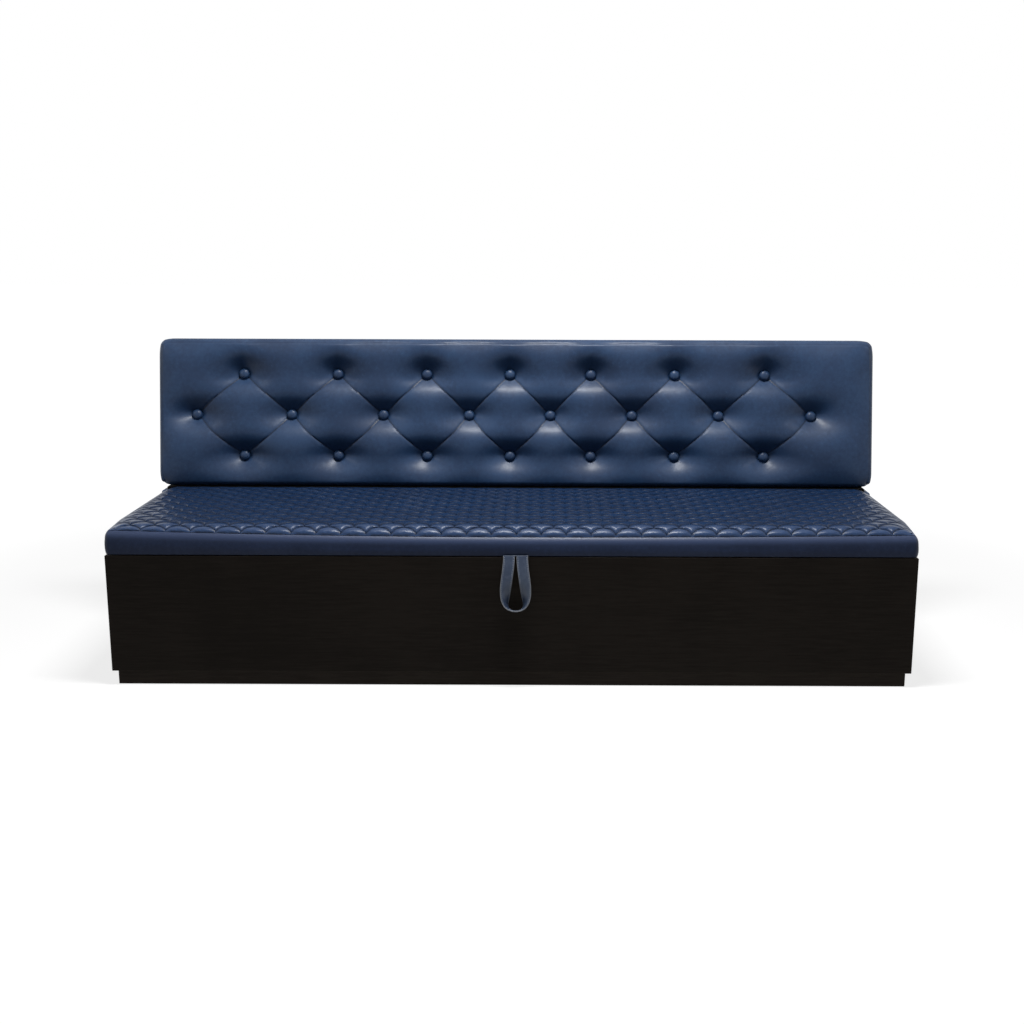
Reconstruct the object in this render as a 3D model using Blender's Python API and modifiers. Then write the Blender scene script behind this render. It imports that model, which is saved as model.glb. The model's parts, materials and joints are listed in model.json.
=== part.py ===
"""Waiting room sofa: a storage bench with a hinged quilted seat lid and a diamond-tufted back.

Run with: blender --background --python part.py
Metres, +Z up. The front looks along -Y, and the origin is on the floor under the middle of the bench.
"""

from math import atan2, cos, exp, hypot, pi, radians, sin, sqrt, tan

import bmesh
import bpy
from mathutils import Matrix, Vector
from mathutils.bvhtree import BVHTree

# Driving dimensions of the box.
WIDTH = 2.000
DEPTH = 0.660
PLINTH_HEIGHT = 0.037
PLINTH_RECESS = 0.012
BOX_TOP = 0.334
PANEL = 0.018
FLOOR_PANEL = 0.012
HINGE_RAIL_HEIGHT = 0.135
PANEL_EDGE = 0.001

# Driving dimensions of the seat lid.
SEAT_GAP = 0.005
LID_BOARD = 0.018
SEAT_FOAM = 0.038
SEAT_SKIN = 0.008
SEAT_CROWN = 0.011
SEAT_ROLL = 0.060
SEAT_REAR_ROLL = 0.020
SEAM_INSET = 0.007
SEAT_CORNER = 0.014
SCALE_WIDTH = 0.064
SCALE_ROW = 0.031
SCALE_HEIGHT = 0.005
BORDER_WALL = 0.008
BORDER_EDGE = 0.0025
LINING = 0.002
LINING_MARGIN = 0.060
LID_ANGLE = radians(65)

# Driving dimensions of the back.
BACK_DEPTH = 0.175
BACK_HEIGHT = 0.4095
BACK_RECLINE = radians(10.1)
BACK_OVERHANG = 0.004
BACK_CORNER = 0.030
BACK_ROLL = 0.015
BACK_WALL = 0.008
BACK_PAD = 0.030
BACK_FOAM = 0.028
BACK_BOARD = 0.012
BASE_BOARD = 0.018
TUFT_DEPTH = 0.017
TUFT_RADIUS = 0.045
CREASE_DEPTH = 0.006

# Driving dimensions of the button field.
BUTTON_PITCH = 0.246
BUTTON_ROW_PITCH = 0.1135
BUTTON_ROW_DROP = 0.008
BUTTON_END_GAP = 0.1363
BUTTON_CROWD = 0.0214
BUTTON_SHIFT = -0.0257
BUTTON_LEAN = 0.0086
BUTTON_RADIUS = 0.015
BUTTON_DOME = 0.008
SHANK_RADIUS = 0.0025
TAPE_WIDTH = 0.012
TAPE_THICKNESS = 0.004

# Driving dimensions of the hardware.
HINGE_LENGTH = 0.080
HINGE_RISE = 0.0105
HINGE_INSET = 0.300
LEAF = 0.002
LEAF_HEIGHT = 0.050
LEAF_PLAY = 0.001
KNUCKLE_RADIUS = 0.004
HINGE_PIN_RADIUS = 0.002
STRUT_REACH = 0.190
STRUT_DROP = 0.016
STRUT_CLOSED = radians(70)
STRUT_INSET = 0.017
CYLINDER_RADIUS = 0.009
ROD_RADIUS = 0.004
ROD_ENGAGED = 0.030
EYE_RADIUS = 0.008
EYE_WIDTH = 0.010
STUD_RADIUS = 0.003
BRACKET_PLATE = 0.003
BRACKET_SIZE = 0.036
BRACKET_FOOT = 0.020
BUMPER_RADIUS = 0.007
BUMPER_INSET = 0.350

# Driving dimensions of the pull strap.
STRAP_WIDTH = 0.028
STRAP_THICKNESS = 0.0024
STRAP_DROP = 0.140
STRAP_SHIFT = 0.0104
STRAP_LEG = 0.0173
STRAP_BULGE = 0.0535
STRAP_STEM = 0.056
STRAP_BOW = 0.018
STRAP_BEND = 0.45
STRAP_FLAT = 0.20
STRAP_TURNED = 0.95
STRAP_STANDOFF = 0.0035
TAB_LENGTH = 0.040

# How finely the curved forms are cut.
CREASE_STEPS = 6
ROW_STEPS = CREASE_STEPS // 2
RIM_STEPS = 16
STRAP_STEPS = 32
STRAP_NUDGE = 0.01
MERGE = 0.00001

# Clearances.
JOINT_GAP = 0.0004
RUNNING_GAP = 0.0003
SWING_GAP = 0.002

# Levels worked out from the sizes above.
FRONT = -DEPTH / 2
REAR = DEPTH / 2
SIDE = WIDTH / 2
SIDE_INNER = SIDE - PANEL
REAR_INNER = REAR - PANEL
FLOOR_TOP = PLINTH_HEIGHT + JOINT_GAP + FLOOR_PANEL
SEAT_BOTTOM = BOX_TOP + SEAT_GAP
LID_TOP = SEAT_BOTTOM + LID_BOARD
PAD_TOP = LID_TOP + JOINT_GAP + SEAT_FOAM
TOP_BASE = PAD_TOP + JOINT_GAP
SEAM_Z = TOP_BASE + SEAT_SKIN
HINGE_Y = REAR - BACK_DEPTH
HINGE_Z = PAD_TOP + HINGE_RISE
LEAF_OFFSET = LEAF_PLAY / 2 + LEAF + JOINT_GAP
LID_REAR = HINGE_Y - LEAF_OFFSET
RAIL_FRONT = HINGE_Y + LEAF_OFFSET
RAIL_BOTTOM = PAD_TOP - HINGE_RAIL_HEIGHT
SEAT_TOP_REAR = HINGE_Y - KNUCKLE_RADIUS - SWING_GAP
BASE_FRONT = HINGE_Y + KNUCKLE_RADIUS + SWING_GAP
BACK_BOTTOM = TOP_BASE + BASE_BOARD + JOINT_GAP
BACK_TOP = BACK_BOTTOM + BACK_HEIGHT
BACK_SIDE = SIDE + BACK_OVERHANG
TOP_FALL = (BACK_DEPTH - BACK_HEIGHT * tan(BACK_RECLINE)) * tan(BACK_RECLINE)
CAVITY_TOP = BACK_TOP - TOP_FALL - BACK_WALL
BUTTON_MIDDLE = (BACK_BOTTOM + BACK_TOP) / 2 - BUTTON_ROW_DROP
BUTTON_SPAN = BACK_SIDE - BUTTON_END_GAP
BUTTON_COLUMNS = max(3, round(2 * BUTTON_SPAN / BUTTON_PITCH) + 1)
LAST_COLUMN = (BUTTON_COLUMNS - 1) / 2
STRAP_Y = FRONT - STRAP_STANDOFF
STRAP_Z = SEAT_BOTTOM - JOINT_GAP - STRAP_THICKNESS / 2

for old in list(bpy.data.objects):
    bpy.data.objects.remove(old, do_unlink=True)

sofa = bpy.data.collections.new("waiting_room_sofa")
bpy.context.scene.collection.children.link(sofa)


def surface(name, colour, roughness, metallic=0.0):
    """A Principled material with one colour and finish."""
    made = bpy.data.materials.new(name)
    made.use_nodes = True
    shader = made.node_tree.nodes["Principled BSDF"]
    shader.inputs["Base Color"].default_value = (*colour, 1.0)
    shader.inputs["Roughness"].default_value = roughness
    shader.inputs["Metallic"].default_value = metallic
    return made


NAVY = (0.026, 0.045, 0.105)
LAMINATE = (0.012, 0.010, 0.008)
FINISHES = {
    "leather": (NAVY, 0.42, 0.0),
    "laminate": (LAMINATE, 0.45, 0.0),
    "plywood": ((0.52, 0.36, 0.20), 0.60, 0.0),
    "foam": ((0.72, 0.66, 0.48), 0.90, 0.0),
    "cloth": ((0.020, 0.020, 0.022), 0.95, 0.0),
    "steel": ((0.45, 0.45, 0.46), 0.32, 1.0),
    "black_steel": ((0.030, 0.030, 0.032), 0.40, 0.6),
    "rubber": ((0.015, 0.015, 0.015), 0.85, 0.0),
}


def add(name, mesh, finish, place=(0, 0, 0), turn=0.0, parent=None, smooth=None):
    """Make one node from a mesh: its place, its turn about X, its own material and its parent empty."""
    node = bpy.data.objects.new(name, mesh)
    node.location = place
    node.rotation_euler = (turn, 0, 0)
    sofa.objects.link(node)
    colour, roughness, metallic = FINISHES[finish]
    if mesh.users == 1:
        mesh.materials.append(None)
    node.material_slots[0].link = "OBJECT"
    node.material_slots[0].material = surface(name + "_" + finish, colour, roughness, metallic)
    if smooth is not None:
        mesh.shade_smooth()
        mesh.set_sharp_from_angle(angle=smooth)
    if parent is not None:
        node.parent = parent
        node.matrix_parent_inverse = Matrix.Translation(parent.location).inverted()
    return node


def pivot(name, place):
    """An empty on a joint's axis, which carries the pieces that turn with it."""
    empty = bpy.data.objects.new(name, None)
    empty.location = place
    empty.empty_display_size = 0.05
    sofa.objects.link(empty)
    return empty


def mesh_of(name, build):
    """Turn a bmesh into mesh data with its faces looking outwards."""
    bmesh.ops.recalc_face_normals(build, faces=build.faces)
    mesh = bpy.data.meshes.new(name)
    build.to_mesh(mesh)
    build.free()
    return mesh


def block_mesh(low, high):
    """A box between two corners."""
    low, high = Vector(low), Vector(high)
    build = bmesh.new()
    bmesh.ops.create_cube(build, size=1.0)
    bmesh.ops.scale(build, vec=high - low, verts=build.verts)
    bmesh.ops.translate(build, vec=(low + high) / 2, verts=build.verts)
    return mesh_of("block", build)


def block(name, low, high, finish, parent=None, edge=0.0):
    """A box-shaped node, with its edges eased by a Bevel modifier where edge is given."""
    node = add(name, block_mesh(low, high), finish, parent=parent)
    if edge > 0:
        bevel = node.modifiers.new("eased_edges", "BEVEL")
        bevel.width = edge
        bevel.segments = 1
        bevel.limit_method = "NONE"
    return node


def rod_mesh(radius, start, end, sides=12):
    """A cylinder from one point to another."""
    start, end = Vector(start), Vector(end)
    run = end - start
    build = bmesh.new()
    bmesh.ops.create_cone(build, cap_ends=True, segments=sides, depth=run.length,
                          radius1=radius, radius2=radius)
    turn = Vector((0, 0, 1)).rotation_difference(run).to_matrix()
    bmesh.ops.rotate(build, matrix=turn, verts=build.verts)
    bmesh.ops.translate(build, vec=(start + end) / 2, verts=build.verts)
    return mesh_of("rod", build)


def turned_mesh(profile, sides=16):
    """A turned solid about Z from radius and height pairs, which run down the outer side."""
    build = bmesh.new()
    points = [build.verts.new((radius, 0, height)) for radius, height in profile]
    for first, second in zip(points, points[1:]):
        build.edges.new((first, second))
    bmesh.ops.spin(build, geom=build.verts[:] + build.edges[:], axis=(0, 0, 1), cent=(0, 0, 0),
                   angle=2 * pi, steps=sides, use_merge=True)
    bmesh.ops.remove_doubles(build, verts=build.verts, dist=MERGE)
    return mesh_of("turned", build)


def outline_mesh(points, low, high, axis):
    """A flat outline of closed points, drawn out along X or Z between two levels."""
    drawing = bpy.data.curves.new("outline", "CURVE")
    drawing.dimensions = "2D"
    drawing.fill_mode = "BOTH"
    drawing.extrude = (high - low) / 2
    path = drawing.splines.new("POLY")
    path.points.add(len(points) - 1)
    for slot, (first, second) in zip(path.points, points):
        slot.co = (first, second, 0, 1)
    path.use_cyclic_u = True
    holder = bpy.data.objects.new("outline", drawing)
    bpy.context.scene.collection.objects.link(holder)
    mesh = evaluated(holder)
    build = bmesh.new()
    build.from_mesh(mesh)
    bpy.data.meshes.remove(mesh)
    bmesh.ops.remove_doubles(build, verts=build.verts, dist=MERGE)
    bmesh.ops.translate(build, vec=(0, 0, (low + high) / 2), verts=build.verts)
    if axis == "X":
        for vertex in build.verts:
            vertex.co = Vector((vertex.co.z, vertex.co.x, vertex.co.y))
    return mesh_of("outline", build)


def evaluated(holder):
    """The mesh of a helper object with its modifiers applied; the helper is removed."""
    bpy.context.view_layer.update()
    graph = bpy.context.evaluated_depsgraph_get()
    mesh = bpy.data.meshes.new_from_object(holder.evaluated_get(graph))
    bpy.data.objects.remove(holder, do_unlink=True)
    return mesh


def joined(meshes):
    """Several meshes as one, without a union."""
    build = bmesh.new()
    for mesh in meshes:
        build.from_mesh(mesh)
        bpy.data.meshes.remove(mesh)
    return mesh_of("joined", build)


def fused(mesh, unions=(), cuts=()):
    """One closed mesh with others joined to it, then others cut from it, by exact Booleans."""
    holder = bpy.data.objects.new("fused", mesh)
    bpy.context.scene.collection.objects.link(holder)
    tools = []
    for operation, others in (("UNION", unions), ("DIFFERENCE", cuts)):
        for other in others:
            tool = bpy.data.objects.new("tool", other)
            bpy.context.scene.collection.objects.link(tool)
            tools.append(tool)
            step = holder.modifiers.new(operation, "BOOLEAN")
            step.operation = operation
            step.solver = "EXACT"
            step.object = tool
    result = evaluated(holder)
    for tool in tools:
        bpy.data.objects.remove(tool, do_unlink=True)
    return result


def quilted_sheet(across, along, place):
    """A grid of points set by place(column, row), with each square folded along its lower diagonal."""
    build = bmesh.new()
    bmesh.ops.create_grid(build, x_segments=across, y_segments=along, size=0.5)
    depth = {}
    for vertex in build.verts:
        column = round((vertex.co.x + 0.5) * across)
        row = round((vertex.co.y + 0.5) * along)
        point, height = place(column, row)
        vertex.co = point
        depth[vertex] = height
    for face in build.faces[:]:
        first, second, third, fourth = face.verts
        if depth[first] + depth[third] <= depth[second] + depth[fourth]:
            bmesh.utils.face_split(face, first, third)
        else:
            bmesh.utils.face_split(face, second, fourth)
    return build


def closed_behind(build, axis, level):
    """Close a sheet by drawing its rim straight back to a flat level on one axis."""
    rim = [edge for edge in build.edges if edge.is_boundary]
    drawn = bmesh.ops.extrude_edge_only(build, edges=rim)["geom"]
    for vertex in drawn:
        if isinstance(vertex, bmesh.types.BMVert):
            vertex.co[axis] = level
    far = [edge for edge in drawn if isinstance(edge, bmesh.types.BMEdge) and edge.is_boundary]
    bmesh.ops.contextual_create(build, geom=far)


def rounded_corner(across, up, half_across, half_up, radius):
    """Move a point of a rectangle's grid so that the rectangle's corners are round."""
    over_x = abs(across) - (half_across - radius)
    over_y = abs(up) - (half_up - radius)
    if over_x <= 0 or over_y <= 0:
        return across, up
    pull = max(over_x, over_y) / hypot(over_x, over_y)
    new_x = half_across - radius + over_x * pull
    new_y = half_up - radius + over_y * pull
    return (new_x if across > 0 else -new_x), (new_y if up > 0 else -new_y)


def rolled(edge_distance, radius):
    """How far a round edge falls back at a distance from its outline."""
    inside = min(max(edge_distance, 0.0), radius)
    return radius - sqrt(radius ** 2 - (radius - inside) ** 2)


def back_plane(height):
    """The y of the leaning front plane of the back at a height."""
    return HINGE_Y + (height - BACK_BOTTOM) * tan(BACK_RECLINE)


def button_x(column):
    """The x of a button column, counted in pitches from the middle of the field."""
    share = column / LAST_COLUMN
    crowd = BUTTON_CROWD * sin(pi * share)
    return BUTTON_SPAN * share - crowd + BUTTON_SHIFT + BUTTON_LEAN * cos(pi * share)


def button_z(row):
    """The height of a button row: -1 bottom, 0 middle, 1 top."""
    return BUTTON_MIDDLE + row * BUTTON_ROW_PITCH


BUTTONS = {}
for row, title in ((1, "top"), (0, "middle"), (-1, "bottom")):
    count = BUTTON_COLUMNS if row == 0 else BUTTON_COLUMNS - 1
    BUTTONS[title] = [(button_x(place - (count - 1) / 2), button_z(row)) for place in range(count)]
BUTTON_PLACES = [spot for title in BUTTONS for spot in BUTTONS[title]]


# The plinth: four rails round the edge and one across the middle, under the bottom panel.
plinth_side = SIDE - PLINTH_RECESS
plinth_front = FRONT + PLINTH_RECESS
plinth_rear = REAR - PLINTH_RECESS
cross_front = plinth_front + PANEL + JOINT_GAP
cross_rear = plinth_rear - PANEL - JOINT_GAP
block("plinth_front_rail", (-plinth_side, plinth_front, 0),
      (plinth_side, plinth_front + PANEL, PLINTH_HEIGHT), "laminate")
block("plinth_rear_rail", (-plinth_side, plinth_rear - PANEL, 0),
      (plinth_side, plinth_rear, PLINTH_HEIGHT), "laminate")
block("plinth_left_rail", (-plinth_side, cross_front, 0),
      (-plinth_side + PANEL, cross_rear, PLINTH_HEIGHT), "laminate")
block("plinth_right_rail", (plinth_side - PANEL, cross_front, 0),
      (plinth_side, cross_rear, PLINTH_HEIGHT), "laminate")
block("plinth_centre_rail", (-PANEL / 2, cross_front, 0),
      (PANEL / 2, cross_rear, PLINTH_HEIGHT), "laminate")

# The storage box: a floor, four walls and a divider; the rear wall runs up as the back's post board.
box_base = PLINTH_HEIGHT + JOINT_GAP
wall_front = FRONT + PANEL
inner_side = SIDE_INNER - JOINT_GAP
block("bottom_panel", (-inner_side, wall_front + JOINT_GAP, box_base),
      (inner_side, REAR_INNER - JOINT_GAP, FLOOR_TOP), "laminate")
block("front_panel", (-SIDE, FRONT, box_base),
      (SIDE, wall_front, BOX_TOP), "laminate", edge=PANEL_EDGE)
block("left_side_panel", (-SIDE, wall_front + JOINT_GAP, box_base),
      (-SIDE_INNER, REAR, BOX_TOP), "laminate", edge=PANEL_EDGE)
block("right_side_panel", (SIDE_INNER, wall_front + JOINT_GAP, box_base),
      (SIDE, REAR, BOX_TOP), "laminate", edge=PANEL_EDGE)
block("rear_panel", (-inner_side, REAR_INNER, box_base),
      (inner_side, REAR, CAVITY_TOP - JOINT_GAP), "laminate")
block("centre_divider", (-PANEL / 2, wall_front + JOINT_GAP, FLOOR_TOP + JOINT_GAP),
      (PANEL / 2, REAR_INNER - JOINT_GAP, RAIL_BOTTOM - JOINT_GAP), "laminate")

# What carries the back: a hinge rail between the sides, a covered riser on each side, and a base board.
block("hinge_rail", (-inner_side, RAIL_FRONT, RAIL_BOTTOM),
      (inner_side, RAIL_FRONT + PANEL, PAD_TOP), "laminate")
block("left_riser", (-SIDE, RAIL_FRONT, BOX_TOP + JOINT_GAP),
      (-SIDE_INNER, REAR, SEAM_Z), "leather", edge=PANEL_EDGE)
block("right_riser", (SIDE_INNER, RAIL_FRONT, BOX_TOP + JOINT_GAP),
      (SIDE, REAR, SEAM_Z), "leather", edge=PANEL_EDGE)
block("back_base_board", (-inner_side, BASE_FRONT, TOP_BASE),
      (inner_side, REAR_INNER - JOINT_GAP, TOP_BASE + BASE_BOARD), "laminate")


def layer_mesh(front, rear, left, right, low, high):
    """A leaning slab behind the back's front plane, between two depths measured along Y."""
    points = [(back_plane(low) + front, low), (back_plane(low) + rear, low),
              (back_plane(high) + rear, high), (back_plane(high) + front, high)]
    return outline_mesh(points, left, right, "X")


# The tufted cover of the back: a padded leather front, drawn round to the rear, over a cavity.
pad_rear = BACK_PAD / cos(BACK_RECLINE)
foam_front = pad_rear + JOINT_GAP
foam_rear = foam_front + BACK_FOAM / cos(BACK_RECLINE)
board_front = foam_rear + JOINT_GAP
board_rear = board_front + BACK_BOARD / cos(BACK_RECLINE)
cavity_low = BACK_BOTTOM + BACK_WALL


def grid_columns():
    """The x of each column of the tufted grid with its place in button pitches."""
    steps = round(2 * LAST_COLUMN * CREASE_STEPS)
    inner = [-LAST_COLUMN + step / CREASE_STEPS for step in range(steps + 1)]
    columns = [(button_x(place), place) for place in inner]
    left = [(-BACK_SIDE, -LAST_COLUMN - 1), (-BACK_SIDE + BACK_ROLL, -LAST_COLUMN - 1)]
    right = [(BACK_SIDE - BACK_ROLL, LAST_COLUMN + 1), (BACK_SIDE, LAST_COLUMN + 1)]
    return left + columns + right


def grid_rows():
    """The height of each row of the tufted grid with its place in row pitches."""
    inner = [step / ROW_STEPS for step in range(-ROW_STEPS, ROW_STEPS + 1)]
    rows = [(button_z(place), place) for place in inner]
    low = [(BACK_BOTTOM, -2), (BACK_BOTTOM + BACK_ROLL, -2), ((BACK_BOTTOM + rows[0][0]) / 2, -2)]
    high = [((BACK_TOP + rows[-1][0]) / 2, 2), (BACK_TOP - BACK_ROLL, 2), (BACK_TOP, 2)]
    return low + rows + high


def tuft_depth(x, z, column, row):
    """How far the leather is drawn in: a dimple round each button and a crease between neighbours."""
    nearest = min(hypot(x - spot_x, z - spot_z) for spot_x, spot_z in BUTTON_PLACES)
    depth = TUFT_DEPTH * exp(-(nearest / TUFT_RADIUS) ** 2)
    one, other = column + row / 2 - LAST_COLUMN, column - row / 2 - LAST_COLUMN
    if abs(row) <= 1 and -2 * LAST_COLUMN <= min(one, other) and max(one, other) <= 0:
        depth += CREASE_DEPTH * (1 - min(abs(sin(pi * one)), abs(sin(pi * other))))
    return depth


columns, rows = grid_columns(), grid_rows()
back_middle = (BACK_BOTTOM + BACK_TOP) / 2


def back_point(column, row):
    """A point of the tufted front and its height above the deepest fold."""
    (x, place), (z, level) = columns[column], rows[row]
    edge = min(BACK_SIDE - abs(x), z - BACK_BOTTOM, BACK_TOP - z)
    inward = rolled(edge, BACK_ROLL)
    if edge > 0:
        inward += tuft_depth(x, z, place, level)
    x, z = rounded_corner(x, z - back_middle, BACK_SIDE, BACK_HEIGHT / 2, BACK_CORNER)
    z += back_middle
    return Vector((x, back_plane(z) + inward, z)), -inward


def shank_hole(x, z, radius):
    """A cutter for a button's shank, square in section, from the front to behind the foam."""
    front = back_plane(z) - BACK_ROLL
    return rod_mesh(radius, (x, front, z), (x, back_plane(z) + board_front, z), sides=4)


back_front = quilted_sheet(len(columns) - 1, len(rows) - 1, back_point)
closed_behind(back_front, 1, REAR)
for vertex in back_front.verts:
    above = vertex.co.z - (BACK_TOP - BACK_CORNER)
    if vertex.co.y == REAR and above > 0:
        vertex.co.z -= TOP_FALL * above / BACK_CORNER
tufted_surface = BVHTree.FromBMesh(back_front)
cover_cavity = layer_mesh(pad_rear, DEPTH, -SIDE_INNER, SIDE_INNER, cavity_low, CAVITY_TOP)
panel_slot = block_mesh((-SIDE_INNER, REAR_INNER - JOINT_GAP, BACK_BOTTOM - PANEL),
                        (SIDE_INNER, REAR + PANEL, CAVITY_TOP))
hole_radius = (SHANK_RADIUS + RUNNING_GAP) / cos(pi / 4)
cover_holes = joined([shank_hole(x, z, hole_radius) for x, z in BUTTON_PLACES])
back_cover = fused(mesh_of("back_cover", back_front), cuts=(cover_cavity, panel_slot, cover_holes))
add("back_cover", back_cover, "leather", smooth=radians(30))

# Inside the back: foam and a leaning board, with ribs between the board and the rear panel.
inner_low = cavity_low + JOINT_GAP
inner_high = CAVITY_TOP - JOINT_GAP
foam_slab = layer_mesh(foam_front, foam_rear, -inner_side, inner_side, inner_low, inner_high)
foam_cuts = joined([shank_hole(x, z, hole_radius) for x, z in BUTTON_PLACES])


def row_tape(spots, margin):
    """The tape that ties one row of buttons, against the board and a little past the end buttons."""
    z = spots[0][1]
    over = TAPE_WIDTH + margin
    half = TAPE_WIDTH / 2 + margin
    return layer_mesh(foam_rear - TAPE_THICKNESS - margin, foam_rear + margin,
                      spots[0][0] - over, spots[-1][0] + over, z - half, z + half)


grooves = [row_tape(spots, JOINT_GAP) for spots in BUTTONS.values()]
add("back_foam", fused(foam_slab, cuts=(foam_cuts, *grooves)), "foam")
board = layer_mesh(board_front, board_rear, -inner_side, inner_side, inner_low, inner_high)
add("back_board", board, "plywood")


def rib_mesh(middle):
    """A wedge between the leaning board and the rear panel."""
    front = board_rear + JOINT_GAP
    rear = REAR_INNER - JOINT_GAP
    points = [(back_plane(inner_low) + front, inner_low), (rear, inner_low),
              (rear, inner_high), (back_plane(inner_high) + front, inner_high)]
    return outline_mesh(points, middle - PANEL / 2, middle + PANEL / 2, "X")


rib_side = inner_side - PANEL / 2
for title, middle in (("left", -rib_side), ("centre", 0.0), ("right", rib_side)):
    add(title + "_back_rib", rib_mesh(middle), "plywood")


def button_seat(x, z):
    """The y at which a button's rim rests on the leather of its dimple."""
    rests = []
    for step in range(RIM_STEPS):
        turn = 2 * pi * step / RIM_STEPS
        rim = Vector((x + BUTTON_RADIUS * cos(turn), FRONT, z + BUTTON_RADIUS * sin(turn)))
        hit = tufted_surface.ray_cast(rim, Vector((0, 1, 0)))[0]
        if hit is not None:
            rests.append(hit.y)
    return min(rests) - JOINT_GAP


def button_mesh(x, z):
    """A covered button with its shank, which ends in the row's tape."""
    profile = [(BUTTON_RADIUS * sin(turn), BUTTON_DOME * cos(turn)) for turn in (0, pi / 6, pi / 3, pi / 2)]
    face = button_seat(x, z)
    tail = back_plane(z) + foam_rear - TAPE_THICKNESS / 2
    profile += [(SHANK_RADIUS, 0.0), (SHANK_RADIUS, face - tail), (0.0, face - tail)]
    build = bmesh.new()
    build.from_mesh(turned_mesh(profile, sides=8))
    bmesh.ops.rotate(build, matrix=Matrix.Rotation(pi / 2, 3, "X"), verts=build.verts)
    bmesh.ops.translate(build, vec=(x, face, z), verts=build.verts)
    return mesh_of("button", build)


for title, spots in BUTTONS.items():
    buttons = joined([button_mesh(x, z) for x, z in spots])
    add(title + "_button_row", fused(row_tape(spots, 0.0), unions=(buttons,)), "leather", smooth=radians(40))


# The seat lid, which turns about the hinge axis at its rear top edge.
lid_axis = pivot("lid_axis", (0, HINGE_Y, HINGE_Z))
border_inner = SIDE - BORDER_WALL - JOINT_GAP
lid_front = FRONT + BORDER_WALL + JOINT_GAP
block("lid_board", (-border_inner, lid_front, SEAT_BOTTOM),
      (border_inner, LID_REAR, LID_TOP), "plywood", lid_axis)
batten_front = LID_REAR - PANEL
block("hinge_batten", (-border_inner, batten_front, LID_TOP + JOINT_GAP),
      (border_inner, LID_REAR, PAD_TOP), "plywood", lid_axis)
block("seat_foam", (-border_inner, lid_front, LID_TOP + JOINT_GAP),
      (border_inner, batten_front - JOINT_GAP, PAD_TOP), "foam", lid_axis)


def arc(centre_x, centre_y, radius, start, end, steps=4):
    """Points of an arc between two angles."""
    turns = [start + (end - start) * step / steps for step in range(steps + 1)]
    return [(centre_x + radius * cos(turn), centre_y + radius * sin(turn)) for turn in turns]


wall_inner = SIDE - BORDER_WALL
arc_x, arc_y = SIDE - SEAT_CORNER, FRONT + SEAT_CORNER
border = [(-SIDE, LID_REAR)] + arc(-arc_x, arc_y, SEAT_CORNER, pi, 1.5 * pi)
border += arc(arc_x, arc_y, SEAT_CORNER, 1.5 * pi, 2 * pi) + [(SIDE, LID_REAR), (wall_inner, LID_REAR)]
border += [(wall_inner, FRONT + BORDER_WALL), (-wall_inner, FRONT + BORDER_WALL), (-wall_inner, LID_REAR)]
border_mesh = outline_mesh(border, SEAT_BOTTOM, PAD_TOP, "Z")
seat_border = add("seat_border", border_mesh, "leather", parent=lid_axis, smooth=radians(30))
drawn_in = seat_border.modifiers.new("drawn_in_edges", "BEVEL")
drawn_in.width = BORDER_EDGE
drawn_in.segments = 2
drawn_in.limit_method = "ANGLE"
drawn_in.angle_limit = radians(60)

# The quilted seat top: a crown with staggered scales, rolled down to the seam all round.
top_side = SIDE - SEAM_INSET
top_front = FRONT + SEAM_INSET / 2
top_middle = (top_front + SEAT_TOP_REAR) / 2
top_half = (SEAT_TOP_REAR - top_front) / 2
scale_columns = 2 * round(top_side * 2 / SCALE_WIDTH)
scale_rows = round(top_half * 2 / SCALE_ROW)


def seat_point(column, row):
    """A point of the seat top and its height: every other point is the middle of a scale."""
    x = top_side * (2 * column / scale_columns - 1)
    y = top_half * (2 * row / scale_rows - 1)
    rear_edge = (top_half - y) * SEAT_ROLL / SEAT_REAR_ROLL
    edge = min(top_side - abs(x), top_half + y, rear_edge)
    fall = 1 - min(edge / SEAT_ROLL, 1.0)
    height = SEAT_CROWN * (1 - fall ** 2)
    if edge > 0.5 * SCALE_ROW and (column + row) % 2:
        height += SCALE_HEIGHT
    x, y = rounded_corner(x, y, top_side, top_half, SEAT_CORNER)
    return Vector((x, y + top_middle, SEAM_Z + height)), height


seat_top = quilted_sheet(scale_columns, scale_rows, seat_point)
closed_behind(seat_top, 2, TOP_BASE)
add("seat_top", mesh_of("seat_top", seat_top), "leather", parent=lid_axis, smooth=radians(10))
lining_top = SEAT_BOTTOM - JOINT_GAP
lining_side = SIDE_INNER - LINING_MARGIN
block("lid_lining", (-lining_side, wall_front + LINING_MARGIN, lining_top - LINING),
      (lining_side, batten_front - LINING_MARGIN, lining_top), "cloth", lid_axis)

# Rubber bumpers on the front panel's top edge, and on the side panels', which the lid rests on.
bumper_low, bumper_high = BOX_TOP + JOINT_GAP, SEAT_BOTTOM - JOINT_GAP
bumper_side = SIDE - PANEL / 2
bumper_front = FRONT + PANEL / 2
bumpers = {"left_front": (-SIDE + BUMPER_INSET, bumper_front),
           "right_front": (SIDE - BUMPER_INSET, bumper_front),
           "left_side": (-bumper_side, FRONT + BUMPER_INSET),
           "right_side": (bumper_side, FRONT + BUMPER_INSET)}
for title, (x, y) in bumpers.items():
    add(title + "_bumper", rod_mesh(BUMPER_RADIUS, (x, y, bumper_low), (x, y, bumper_high)), "rubber",
        smooth=radians(40))

# Three butt hinges: a leaf on the rail, a leaf on the lid's rear batten, and a pin through their knuckles.
leaf_low = HINGE_Z - LEAF_HEIGHT
leaf_high = HINGE_Z - KNUCKLE_RADIUS - SWING_GAP / 2
knuckle = HINGE_LENGTH / 3


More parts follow.
